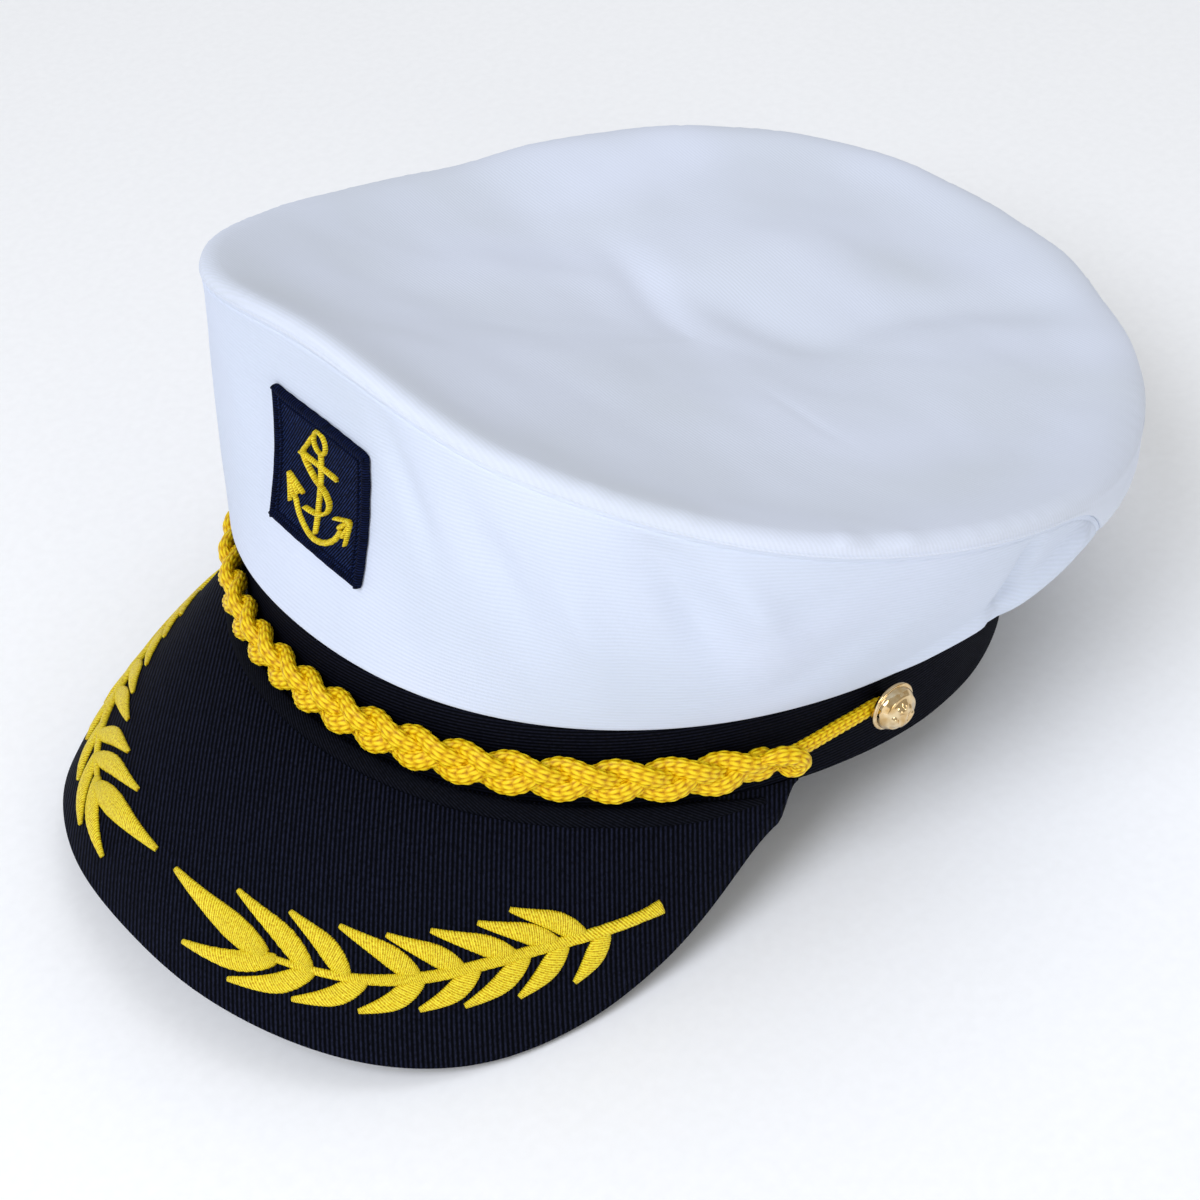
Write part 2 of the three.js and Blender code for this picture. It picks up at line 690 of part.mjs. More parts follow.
function anchorGeometry() {
  const outlines = Object.values(anchorParts).map((corners) => (
    new THREE.Shape(corners.map(([x, y]) => new THREE.Vector2(x, y)))
  ));
  const shapes = [...outlines, anchorArms(), anchorRing(), anchorRope()];
  const flat = joined(shapes.map((shape) => {
    const geometry = new THREE.ExtrudeGeometry(shape, { depth: 1, bevelEnabled: false, curveSegments: 8 });
    return geometry.scale(anchorHeight, anchorHeight, ANCHOR_THICKNESS);
  }));
  const seat = GAP + PATCH_THICKNESS + GAP;
  const spots = flat.attributes.position;
  for (let index = 0; index < spots.count; index += 1) {
    const point = onPatch(spots.getX(index), spots.getY(index), seat + spots.getZ(index));
    spots.setXYZ(index, point.x, point.y, point.z);
  }
  return flat;
}

// Laurel branch: lens-shaped leaves joined to a tapering stem, bent on to the visor.
function stemOut(along) {
  const row = STEM.findIndex((stop) => stop.along >= along);
  const next = STEM[Math.max(row, 1)];
  const last = STEM[Math.max(row, 1) - 1];
  return mix(last.out, next.out, (along - last.along) / (next.along - last.along));
}

function ribbon(hand, stops, widthAt, steps) {
  const path = new THREE.SplineCurve(stops.map(({ along, out }) => new THREE.Vector2(along, out)));
  const lifts = [0, 0.6, 1, 0.6];
  const face = (lift) => grid(steps + 1, 3, (row, column) => {
    const share = row / steps;
    const spot = path.getPoint(share);
    const middle = onVisor(hand * spot.x, spot.y, 0);
    const nextSpot = path.getPoint(Math.min(share + 0.02, 1));
    const lastSpot = path.getPoint(Math.max(share - 0.02, 0));
    const heading = onVisor(hand * nextSpot.x, nextSpot.y, 0).sub(onVisor(hand * lastSpot.x, lastSpot.y, 0));
    const normal = visorNormal(hand * spot.x, spot.y);
    const across = heading.cross(normal).normalize();
    const rise = GAP + lift * LEAF_THICKNESS * lifts[column + 1];
    return middle.addScaledVector(across, (column - 1) * widthAt(share)).addScaledVector(normal, rise);
  });
  return shell(face(1), face(0), false);
}

function laurelGeometry(hand) {
  const leafSteps = 3;
  const leafWidth = (share) => (LEAF_WIDTH / 2) * (0.12 + 0.88 * Math.sin(Math.PI * share ** 0.8));
  const stemWidth = (share) => (STEM_WIDTH / 2) * (0.5 + 0.7 * share);
  const pieces = LEAVES.map(({ root, along, out }) => {
    const base = { along: root, out: stemOut(root) };
    const lean = { along: mix(root, along, 0.5), out: mix(base.out, out, 0.55) };
    return ribbon(hand, [base, lean, { along, out }], leafWidth, leafSteps);
  });
  pieces.push(ribbon(hand, STEM, stemWidth, 12));
  return joined(pieces);
}

// Assembly
const hat = new THREE.Group();

function add(name, geometry, material) {
  const mesh = new THREE.Mesh(geometry, material);
  mesh.name = name;
  hat.add(mesh);
  return mesh;
}

add('hat_band', bandGeometry(), blackRib);
add('crown_side', wallGeometry(), whiteTwill);
add('crown_top', topGeometry(), whiteTwill);
const visor = add('visor', visorGeometry(), blackRib);
add('visor_binding', bindingGeometry(), blackRib);
['a', 'b', 'c'].forEach((letter, strand) => {
  add(`braid_strand_${letter}`, strandGeometry(strand / 3), goldCord);
});
for (const [side, hand] of [['left', 1], ['right', -1]]) {
  add(`braid_knot_${side}`, knotGeometry(hand), goldCord);
  add(`side_cord_${side}`, sideCordGeometry(hand), goldCord);
  add(`button_${side}`, buttonGeometry(hand), brass);
  add(`laurel_${side}`, laurelGeometry(hand), goldThread);
}
add('anchor_patch', patchGeometry(), navyFelt);
add('patch_border', borderGeometry(), navyFelt);
add('anchor_badge', anchorGeometry(), goldThread);

// Tip the hat back until the visor's edge and the back of the band touch the same floor.
const visorSpots = visor.geometry.attributes.position;
let tip = 0;
for (let index = 0; index < visorSpots.count; index += 1) {
  tip = Math.max(tip, Math.atan2(-visorSpots.getZ(index), BAND_BACK - visorSpots.getY(index)));
}
hat.rotation.x = -tip;

// Stand it with the middle of its box over the origin and its lowest point on the floor.
const box = new THREE.Box3().setFromObject(hat, true);
const middle = box.getCenter(new THREE.Vector3());
hat.position.set(-middle.x, -middle.y, -box.min.z);

const group = new THREE.Group();
group.add(hat);
group.updateMatrixWorld(true);

export default group;
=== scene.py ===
"""Captain hat on a pale studio floor: white twill crown, black ribbed band and visor, gold plait,
side buttons, anchor patch and laurel branches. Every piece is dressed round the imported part."""
import json
import math
from functools import lru_cache

import bmesh
import bpy
from mathutils import Matrix, Vector, noise


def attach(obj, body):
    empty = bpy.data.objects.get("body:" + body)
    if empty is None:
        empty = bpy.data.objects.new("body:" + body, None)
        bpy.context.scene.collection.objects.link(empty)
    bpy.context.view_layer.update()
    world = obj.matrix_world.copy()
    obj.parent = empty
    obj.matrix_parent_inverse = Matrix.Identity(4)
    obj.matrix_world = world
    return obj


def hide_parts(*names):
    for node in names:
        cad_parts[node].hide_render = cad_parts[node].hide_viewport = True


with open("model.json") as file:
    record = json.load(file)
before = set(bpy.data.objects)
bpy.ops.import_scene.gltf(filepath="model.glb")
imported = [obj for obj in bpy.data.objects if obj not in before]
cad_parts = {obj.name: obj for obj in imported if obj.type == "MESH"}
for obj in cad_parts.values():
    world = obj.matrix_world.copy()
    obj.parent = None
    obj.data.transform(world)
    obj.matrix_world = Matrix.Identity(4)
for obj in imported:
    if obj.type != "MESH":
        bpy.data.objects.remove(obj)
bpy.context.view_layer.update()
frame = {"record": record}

# Sizes of the part, in millimetres. The hat frame is level: its origin is the middle of the
# band's lower rim, the front looks along -Y and the wearer's left is +X.
MM = 0.001
GAP = 0.3
CLOTH = 1.8
BAND_HALF_WIDTH = 85
BAND_FRONT = 104
BAND_BACK = 101
BAND_SQUARENESS = 0.021
BAND_HEIGHT = 22
BAND_WALL = 2.4
CROWN_HALF_WIDTH = 105
CROWN_FRONT = 114
CROWN_BACK = 119
CROWN_SETBACK = 8
CROWN_HEIGHT = 97
WALL_STEP = 3
WALL_BULGE = 8
TOP_SAG = 7
TOP_SWELL = 5
VISOR_THICKNESS = 2.6
VISOR_SPREAD = 28.8
VISOR_REACH = 49
VISOR_DROP = 44.8
VISOR_ARCH = 4.5
VISOR_ROOT_RISE = 1
BINDING_WIDTH = 4.8
BINDING_THICKNESS = 1.2
PLAIT_PITCH = 32
PLAIT_LIFT = 0.49 * BAND_HEIGHT
PLAIT_END = 70
SIDE_CORD = 3.4
BUTTON_TURN = 86.3
BUTTON_LIFT = 0.77 * BAND_HEIGHT
BUTTON_RADIUS = 6.2
BUTTON_DOME = 3.6
BUTTON_RIM = 1.2
PATCH_WIDTH = 32.5
PATCH_HEIGHT = 35.3
PATCH_THICKNESS = 0.9
PATCH_CENTRE_SHARE = 0.513
PATCH_LEAN = 3.5

# Rim every 30 degrees from the front to the wearer's left: reach, height, bulge, foot.
RIM = [
    (1.0, 0.985, -0.6, 0.3), (1.027, 0.902, 0, 0.3), (1.05, 0.807, 0.15, 0.3),
    (1.03, 0.729, 0.45, 0.3), (0.985, 0.64, 0.8, 0.3), (1.0, 0.625, 0.95, 0.3),
    (1.04, 0.665, 1.0, 0.3), (1.004, 0.745, 0.9, 0.3), (0.985, 0.735, 0.7, 0.3),
    (1.0, 0.675, 0.4, 0.5), (1.03, 0.745, 0.2, 1.2), (1.05, 0.877, 0, 1.2),
]
# Visor edge from its middle to its end: turn, side, ahead, down.
VISOR_EDGE = [
    (0, 0.0, 0.976, 0.881), (9, 0.422, 0.946, 0.897), (18, 0.745, 0.827, 0.936),
    (27, 0.902, 0.66, 0.968), (36, 0.895, 0.463, 0.955), (45.5, 0.74, 0.278, 0.858),
    (55.5, 0.5, 0.135, 0.652), (65.5, 0.26, 0.045, 0.33), (75, 0.08, 0.01, 0.08),
]
# Soft folds of the top: across, along, heading, length, width, height.
TOP_FOLDS = [
    (-0.35, 0.0, 60, 0.55, 0.12, 0.35), (-0.1, 0.45, 35, 0.5, 0.14, 0.3),
    (0.45, 0.35, 80, 0.4, 0.2, 0.45),
]
# Laurel branch on the visor, along and out; leaves as root, tip along, tip out.
STEM = [
    (0.1, 0.842), (0.2, 0.822), (0.31, 0.79), (0.4, 0.749), (0.5, 0.697), (0.6, 0.681), (0.745, 0.738),
]
LEAVES = [
    (0.19, 0.022, 0.77), (0.25, 0.118, 0.692), (0.3, 0.198, 0.666), (0.395, 0.27, 0.645),
    (0.455, 0.338, 0.629), (0.53, 0.4, 0.588), (0.59, 0.468, 0.551), (0.63, 0.515, 0.504),
    (0.205, 0.085, 0.926), (0.255, 0.158, 0.941), (0.325, 0.24, 0.91), (0.4, 0.325, 0.884),
    (0.475, 0.403, 0.853), (0.545, 0.463, 0.842), (0.6, 0.537, 0.842), (0.66, 0.615, 0.863),
]

# Looks that only this scene has, in millimetres unless a note says otherwise.
SHOWN_CLOTH = 1.1  # thickness of the crown's cloth where an edge shows
# Rolled rim of the top panel: narrow at the front, wide and soft at the back
LIP_WIDTH = 4.5
LIP_WIDTH_BACK = 9.0
LIP_RISE = 3.4
LIP_FADE = 16.0
# Seam between the top panel and the side wall
SEAM_DROP_FRONT = 0.3
SEAM_DROP_BACK = 19.0
SEAM_TUCK = 0.3
STITCH_LINE = 1.3
STITCH_DEPTH = 0.22
STITCH_WIDTH = 0.28
# Settled cloth: how deep its broad waves, fine wrinkles and puckers are
WALL_WAVE = 0.5
WALL_WRINKLE = 0.14
WALL_PUCKER = 0.12
WALL_FOOT_ROUND = 1.2
TOP_WAVE = 0.9
TOP_WRINKLE = 0.18
TOP_PUCKER = 0.3
SKIRT_LIFT = 0.35
SKIRT_SWELL = 0.8
SKIRT_TURN_IN = 0.8
# Cords of the plait, and their knitted loops
CORD_WIDTH = 5.0
CORD_DEPTH = 3.4
CORD_SPREAD = 2.9
CORD_SWING = 1.45
KNIT_PITCH = 2.3
KNIT_WALES = 6  # loops round a cord
KNIT_FACETS = 6  # faces round a loop
KNIT_RELIEF = 0.34
# Embroidered laurel
LEAF_WIDTH = 4.8
LEAF_RISE = 1.1
STEM_WIDTH = 2.7
# Share of a leaf's full width at even steps from its root to its tip
LEAF_OUTLINE = (0.48, 0.78, 0.97, 1.0, 0.87, 0.63, 0.4, 0.24)
# Lengths round the hat that the cloth's own maps are measured along
RIM_ROUND = 620
BAND_ROUND = 590


# The hat's place: the rim's flat face is a mount of the part, and gives the tilt at rest.
rest = frame["record"]["mounts"][0]
TIP = math.atan2(-rest["axis"][1], -rest["axis"][2])
LEVEL_TO_REST = (
    Matrix.Translation(Vector(rest["pos_m"]))
    @ Matrix.Rotation(-TIP, 4, "X")
    @ Matrix.Translation(Vector((-(BAND_HALF_WIDTH - BAND_WALL / 2), 0, 0)) * MM)
)


def seat(point):
    """Point of the level hat, in millimetres, at its place in the row frame, in metres."""
    return LEVEL_TO_REST @ (point * MM)


def blend(a, b, c, d, t):
    """Smooth curve from b to c at share t, with a and d as the neighbours."""
    return b + 0.5 * t * (c - a + t * (2 * a - 5 * b + 4 * c - d + t * (3 * b - a - 3 * c + d)))


def smooth(low, high, value):
    """Rises softly from 0 to 1 between low and high."""
    t = min(max((value - low) / (high - low), 0), 1)
    return t * t * (3 - 2 * t)


def hump(distance, width):
    """1 in the middle, fading out over this width."""
    return math.exp(-((distance / width) ** 2))


def ripple(*place):
    """Uneven waves between about -1 and 1."""
    return noise.noise(Vector(place))


@lru_cache(None)
def rim_row(turn):
    """Reach, height, bulge and foot of the crown at a turn."""
    place = (turn % 360) / 360 * len(RIM)
    row = int(place)
    near = [RIM[(row + step) % len(RIM)] for step in (-1, 0, 1, 2)]
    return [blend(*values, place - row) for values in zip(*near)]


@lru_cache(None)
def visor_row(share):
    last = len(VISOR_EDGE) - 1
    place = min(max(share, 0), 1) * last
    row = min(int(place), last - 1)
    signs = (-1, -1, 1, 1)

    def at(index):
        if index < 0:
            return [sign * value for sign, value in zip(signs, VISOR_EDGE[1])]
        if index > last:
            return [2 * b - a for a, b in zip(VISOR_EDGE[-2], VISOR_EDGE[-1])]
        return VISOR_EDGE[index]

    near = [at(row + step) for step in (-1, 0, 1, 2)]
    return [blend(*values, place - row) for values in zip(*near)]


def band_outline(turn):
    angle = math.radians(turn)
    ahead = math.cos(angle)
    square = 1 + BAND_SQUARENESS * math.sin(2 * angle) ** 2 if ahead > 0 else 1
    length = BAND_FRONT if ahead > 0 else BAND_BACK
    return Vector((BAND_HALF_WIDTH * math.sin(angle) * square, -length * ahead * square, 0))


@lru_cache(None)
def band_out(turn):
    along = (band_outline(turn + 0.5) - band_outline(turn - 0.5)).normalized()
    return Vector((along.y, -along.x, 0))


def on_band(turn, offset, height):
    """Point this far out from the band's outside, at a height over its lower rim."""
    return band_outline(turn) + band_out(turn) * offset + Vector((0, 0, height))


def rim_point(turn):
    angle = math.radians(turn)
    reach, height = rim_row(turn)[:2]
    length = CROWN_FRONT if math.cos(angle) > 0 else CROWN_BACK
    x = CROWN_HALF_WIDTH * reach * math.sin(angle)
    return Vector((x, CROWN_SETBACK - length * reach * math.cos(angle), CROWN_HEIGHT * height))


WALL_FOOT = BAND_HEIGHT + GAP


def wall_point(turn, share, inward):
    reach, height, bulge, foot = rim_row(turn)
    low = on_band(turn, WALL_STEP * foot, WALL_FOOT)
    high = rim_point(turn)
    high.z -= CLOTH + GAP
    swell = WALL_BULGE * bulge * 4 * share * (1 - share)
    return low.lerp(high, share) + band_out(turn) * (swell - inward)


def on_wall(side, height, lift):
    """Point on the front of the side wall, this far to the wearer's left and lifted off the cloth."""
    turn = 0
    for _ in range(7):  # each round brings the point nearer to the wanted side
        top = rim_point(turn).z - CLOTH - GAP
        point = wall_point(turn, (height - WALL_FOOT) / (top - WALL_FOOT), -lift)
        turn += math.degrees((side - point.x) / BAND_HALF_WIDTH)
    return point + band_out(turn) * wall_relief(turn, point.z, top - point.z)


def visor_edge(along):
    """Root at the band and outer edge of the visor, from -1 to 1 across the front."""
    sign = -1 if along < 0 else 1
    turn, side, ahead, down = visor_row(abs(along))
    root = on_band(sign * turn, GAP, VISOR_ROOT_RISE)
    step = Vector((sign * VISOR_SPREAD * side, -VISOR_REACH * ahead, -VISOR_DROP * down))
    return root, root + step


def visor_point(along, out):
    root, edge = visor_edge(along)
    point = root.lerp(edge, out)
    point.z += VISOR_ARCH * 4 * out * (1 - out) * min(1, 3 * (1 - abs(along)))
    return point


def visor_normal(along, out):
    step = 0.01
    s = min(max(along, step - 1), 1 - step)
    t = min(max(out, step), 1 - step)
    across = visor_point(s + step, t) - visor_point(s - step, t)
    away = visor_point(s, t + step) - visor_point(s, t - step)
    return away.cross(across).normalized()


# Pieces. A grid of cloth or the skin of a strand starts as a flat grid and is bent into place.
def bent_grid(bm, columns, rows, place, measure, mark=None):
    """Grid bent by place(column, row), with a UV map in millimetres by measure(column, row).

    mark(vert, column, row) may keep a value on each vertex.
    """
    uv = bm.loops.layers.uv.verify()
    made = bmesh.ops.create_grid(bm, x_segments=columns, y_segments=rows, size=0.5)["verts"]
    for vert in made:
        spot = round((vert.co.x + 0.5) * columns), round((vert.co.y + 0.5) * rows)
        for loop in vert.link_loops:
            loop[uv].uv = measure(*spot)
        if mark:
            mark(vert, *spot)
        vert.co = seat(place(*spot))
    return made


def close_up(bm, made):
    """Joins a bent grid's meeting borders and covers its open ends."""
    bmesh.ops.remove_doubles(bm, verts=made, dist=1e-6)
    kept = [vert for vert in made if vert.is_valid]
    rims = {edge for vert in kept for edge in vert.link_edges if edge.is_boundary}
    bmesh.ops.holes_fill(bm, edges=list(rims), sides=0)


def strand(bm, sides, spots, skin, measure, mark=None):
    """Closed strand: spots hold its middle, across and up, and skin(column, row) goes round them."""

    def place(column, row):
        middle, across, up = spots[column]
        x, y = skin(column, row)[:2]
        return middle + across * x + up * y

    close_up(bm, bent_grid(bm, len(spots) - 1, sides, place, measure, mark))


def sweep(bm, steps, sides, spot, section, length):
    """Strand of this length along spot(share), with section(share, angle) round it."""

    def skin(column, row):
        return section(column / steps, 2 * math.pi * row / sides)

    spots = [spot(step / steps) for step in range(steps + 1)]
    strand(bm, sides, spots, skin, lambda c, r: (skin(c, r)[0], c / steps * length))


def turn_outward(bm, inside=Vector((0, 0, -0.05))):
    """Turns the faces away from a point under or inside the piece."""
    bmesh.ops.recalc_face_normals(bm, faces=bm.faces)
    facing = sum(
        face.normal.dot(face.calc_center_median() - inside) * face.calc_area() for face in bm.faces
    )
    if facing < 0:
        bmesh.ops.reverse_faces(bm, faces=bm.faces)


def piece(name, bm, material, slot, *nodes):
    """Finished piece on the hat, in place of these CAD nodes."""
    mesh = bpy.data.meshes.new(name)
    bm.to_mesh(mesh)
    bm.free()
    mesh.materials.append(material)
    mesh.shade_smooth()
    made = bpy.data.objects.new(name, mesh)
    bpy.context.scene.collection.objects.link(made)
    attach(made, "root")
    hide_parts(*nodes)
    return made


def thicken(made, thickness, edge=0.0, weighted=False):
    """Gives a cloth its thickness on the inside, and a rounded edge."""
    wall = made.modifiers.new("thickness", "SOLIDIFY")
    wall.thickness = thickness * MM
    wall.offset = -1
    wall.use_even_offset = False
    if weighted:
        made.vertex_groups.new(name="cloth_thickness")
        wall.vertex_group = "cloth_thickness"
    if edge:
        soft = made.modifiers.new("soft_edge", "BEVEL")
        soft.width = edge * MM
        soft.segments = 3
        soft.limit_method = "ANGLE"
        soft.angle_limit = math.radians(50)


# Materials
def linear(colour):
    """sRGB hex to linear red, green, blue and alpha."""
    parts = [int(colour[i:i + 2], 16) / 255 for i in (1, 3, 5)]
    return (*((c / 12.92 if c <= 0.04045 else ((c + 0.055) / 1.055) ** 2.4) for c in parts), 1)


def node(tree, kind, settings=None, sockets=None):
    """Adds a node with its settings or colour stops, and with values or links on its sockets."""
    made = tree.nodes.new(kind)
    for name, value in (settings or {}).items():
        if name != "stops":
            setattr(made, name, value)
            continue
        elements = made.color_ramp.elements
        for index, (place, colour) in enumerate(value):
            stop = elements[index] if index < 2 else elements.new(place)
            stop.position = place
            stop.color = linear(colour)
    for name, value in (sockets or {}).items():
        if isinstance(value, bpy.types.Node):
            value = value.outputs[0]
        if isinstance(value, bpy.types.NodeSocket):
            tree.links.new(value, made.inputs[name])
        else:
            made.inputs[name].default_value = value
    return made


def new_material(name, **values):
    """Material whose shader has these plain values, and its tree and shader."""
    material = bpy.data.materials.new(name)
    material.use_nodes = True
    tree = material.node_tree
    shader = tree.nodes["Principled BSDF"]
    for key, value in values.items():
        shader.inputs[key.replace("_", " ")].default_value = value
    return material, tree, shader


WAVE_PERIOD = math.pi / 10  # a wave texture of scale 1 repeats after this length
# Scale that turns a map of the cloth, or metres on the object, into millimetres
IN_MM = {"UV": (1, 1, 1), "Object": (1 / MM, 1 / MM, 1 / MM)}


def white_twill(name, source, angle, pitch, raised, stops):
    # Cotton and polyester twill, bleached with a blue whitener: a matte cool white with fine
    # raised lines. The real ones are about 0.5 mm apart, drawn at 0.9 to 1.0 so that they show.
    material, tree, shader = new_material(
        name, Roughness=0.85, Specular_IOR_Level=0.2, Sheen_Weight=0.06, Sheen_Roughness=0.5)
    flat = node(tree, "ShaderNodeTexCoord").outputs[source]
    turned = {"Vector": flat, "Rotation": (0, 0, math.radians(angle)), "Scale": IN_MM[source]}
    place = node(tree, "ShaderNodeMapping", None, turned)
    lines = node(tree, "ShaderNodeTexWave", None, {
        "Vector": place, "Scale": WAVE_PERIOD / pitch, "Distortion": 0.5, "Detail": 1.0,
        "Detail Scale": 2.0})
    yarn = node(tree, "ShaderNodeTexNoise", None, {"Vector": place, "Scale": 1 / 0.8, "Detail": 2.0})
    cloud = node(tree, "ShaderNodeTexNoise", None, {"Vector": place, "Scale": 1 / 45, "Detail": 1.0})
    faint = node(tree, "ShaderNodeMath", {"operation": "MULTIPLY"}, {0: lines.outputs["Fac"], 1: 0.22})
    mixed = node(tree, "ShaderNodeMath", {"operation": "ADD"}, {0: faint, 1: cloud.outputs["Fac"]})
    colour = node(tree, "ShaderNodeValToRGB", {"stops": stops}, {"Fac": mixed})
    weave = node(tree, "ShaderNodeMath", {"operation": "ADD"}, {
        0: lines.outputs["Fac"], 1: yarn.outputs["Fac"]})
    bump = node(tree, "ShaderNodeBump", None, {"Height": weave, "Distance": raised * MM})
    tree.links.new(colour.outputs["Color"], shader.inputs["Base Color"])
    tree.links.new(bump.outputs["Normal"], shader.inputs["Normal"])
    return material


def lined_cloth(name, source, angle, pitch, twist, speck, stops, depth, shine):
    """Dark matte cloth with raised lines, painted lighter where the lines and flecks stand high: a painted
    highlight. Its flecks are one speck wide, in millimetres.
    """
    material, tree, shader = new_material(name, Roughness=0.7, Specular_IOR_Level=shine)
    flat = node(tree, "ShaderNodeTexCoord").outputs[source]
    turned = {"Vector": flat, "Rotation": (0, 0, math.radians(angle)), "Scale": IN_MM[source]}
    place = node(tree, "ShaderNodeMapping", None, turned)
    lines = node(tree, "ShaderNodeTexWave", None, {
        "Vector": place, "Scale": WAVE_PERIOD / pitch, "Distortion": twist, "Detail": 1.0,
        "Detail Scale": 3.0})
    fleck = node(tree, "ShaderNodeTexNoise", None, {"Vector": place, "Scale": 1 / speck, "Detail": 3.0})
    mixed = node(tree, "ShaderNodeMath", {"operation": "MULTIPLY"}, {
        0: lines.outputs["Fac"], 1: fleck.outputs["Fac"]})
    # Painted highlight: the colour runs from the dark stop to the light stop as the lines and flecks rise.
    colour = node(tree, "ShaderNodeValToRGB", {"stops": stops}, {"Fac": mixed})
    weave = node(tree, "ShaderNodeMath", {"operation": "ADD"}, {
        0: lines.outputs["Fac"], 1: fleck.outputs["Fac"]})
    bump = node(tree, "ShaderNodeBump", None, {"Height": weave, "Distance": depth * MM})
    tree.links.new(colour.outputs["Color"], shader.inputs["Base Color"])
    tree.links.new(bump.outputs["Normal"], shader.inputs["Normal"])
    return material


def black_rib(name, source, angle, pitch, light, depth):
    # Black polyester twill over board: nearly black with a blue cast. Its raised wales are painted lighter
    # than the grooves between them, a painted highlight, and a noise breaks that painted highlight into
    # uneven pale specks. The real wales are about 0.5 mm apart, drawn at 0.6 to 1.05 so that they show.
    stops = [(0.12, "#030408"), (0.62, light)]
    return lined_cloth(name, source, angle, pitch, 0.4, 0.8, stops, depth, shine=0.03)


def navy_cloth(name, angle, dark, light):
    # Navy felt under dense navy stitching: matte, with short threads whose faint blue glint is painted into
    # the colour, a painted highlight along the raised lines. The real ones are about 0.3 mm apart, drawn at
    # 0.6 so that they show.
    stops = [(0.18, dark), (0.58, light)]
    return lined_cloth(name, "UV", angle, 0.6, 1.0, 1.1, stops, 0.14, shine=0.04)


def gold_cord():
    # Knitted viscose cord: shiny lemon-yellow yarn whose loops are modelled. The colour follows the loops'
    # height: painted shade, deep orange, low between the loops and in their holes, and a painted highlight,
    # pale lemon, on their crowns. The filaments, far finer in the yarn, are drawn 0.45 mm thick.
    material, tree, shader = new_material("gold_knitted_viscose", Roughness=0.4, Specular_IOR_Level=0.2)
    height = node(tree, "ShaderNodeAttribute", {"attribute_name": "loop_height"})
    spot = node(tree, "ShaderNodeTexCoord").outputs["Object"]
    place = node(tree, "ShaderNodeMapping", None, {"Vector": spot, "Scale": IN_MM["Object"]})
    filament = node(tree, "ShaderNodeTexNoise", None, {"Vector": place, "Scale": 1 / 0.45, "Detail": 2.0})
    faint = node(tree, "ShaderNodeMath", {"operation": "MULTIPLY"}, {0: filament.outputs["Fac"], 1: 0.35})
    mixed = node(tree, "ShaderNodeMath", {"operation": "ADD"}, {0: height.outputs["Fac"], 1: faint})
    # Painted shade at low loop height, painted highlight at the top.
    stops = [(0.05, "#8f5a00"), (0.36, "#ca9200"), (0.62, "#e6b802"), (1.0, "#fcdc24")]
    colour = node(tree, "ShaderNodeValToRGB", {"stops": stops}, {"Fac": mixed})
    bump = node(tree, "ShaderNodeBump", None, {"Height": filament.outputs["Fac"], "Distance": 0.14 * MM})
    tree.links.new(colour.outputs["Color"], shader.inputs["Base Color"])
    tree.links.new(bump.outputs["Normal"], shader.inputs["Normal"])
    return material


def gold_thread():
    # Rayon embroidery thread in satin stitch: bright lemon yellow with silky threads across the shape,
    # painted pale lemon along each thread, a painted highlight, and deeper orange between the threads,
    # painted shade; a noise adds flecks. The real ones are about 0.3 mm apart, drawn at 0.5 so that they
    # show.
    material, tree, shader = new_material("gold_rayon_thread", Roughness=0.42, Specular_IOR_Level=0.26)
    flat = node(tree, "ShaderNodeTexCoord").outputs["UV"]
    place = node(tree, "ShaderNodeMapping", None, {"Vector": flat, "Rotation": (0, 0, math.radians(66))})
    threads = node(tree, "ShaderNodeTexWave", None, {
        "Vector": place, "Scale": WAVE_PERIOD / 0.5, "Distortion": 1.2, "Detail": 1.0, "Detail Scale": 3.0})
    speck = node(tree, "ShaderNodeTexNoise", None, {"Vector": place, "Scale": 1 / 0.6, "Detail": 3.0})
    faint = node(tree, "ShaderNodeMath", {"operation": "MULTIPLY"}, {0: threads.outputs["Fac"], 1: 0.45})
    mixed = node(tree, "ShaderNodeMath", {"operation": "ADD"}, {0: faint, 1: speck.outputs["Fac"]})
    # Painted shade deep orange and painted highlight pale lemon, by the threads and flecks.
    stops = [(0.34, "#ae7e00"), (0.62, "#eac408"), (0.95, "#fff040")]
    colour = node(tree, "ShaderNodeValToRGB", {"stops": stops}, {"Fac": mixed})
    weave = node(tree, "ShaderNodeMath", {"operation": "ADD"}, {
        0: threads.outputs["Fac"], 1: speck.outputs["Fac"]})
    bump = node(tree, "ShaderNodeBump", None, {"Height": weave, "Distance": 0.15 * MM})
    tree.links.new(colour.outputs["Color"], shader.inputs["Base Color"])
    tree.links.new(bump.outputs["Normal"], shader.inputs["Normal"])
    return material


def button_metal():
    # Pressed brass with a pale gold plate, polished: clear reflections with light handling haze.
    material, tree, shader = new_material("pale_gold_plate", Metallic=1.0, Roughness=0.14)
    spot = node(tree, "ShaderNodeTexCoord").outputs["Object"]
    place = node(tree, "ShaderNodeMapping", None, {"Vector": spot, "Scale": IN_MM["Object"]})
    haze = node(tree, "ShaderNodeTexNoise", None, {"Vector": place, "Scale": 1 / 2.2, "Detail": 2.0})
    stops = [(0.3, "#d2ac70"), (0.7, "#f0dab0")]
    colour = node(tree, "ShaderNodeValToRGB", {"stops": stops}, {"Fac": haze.outputs["Fac"]})
    rough = node(tree, "ShaderNodeMapRange", None, {
        "Value": haze.outputs["Fac"], "To Min": 0.05, "To Max": 0.14})
    tree.links.new(colour.outputs["Color"], shader.inputs["Base Color"])
    tree.links.new(rough.outputs["Result"], shader.inputs["Roughness"])
    return material


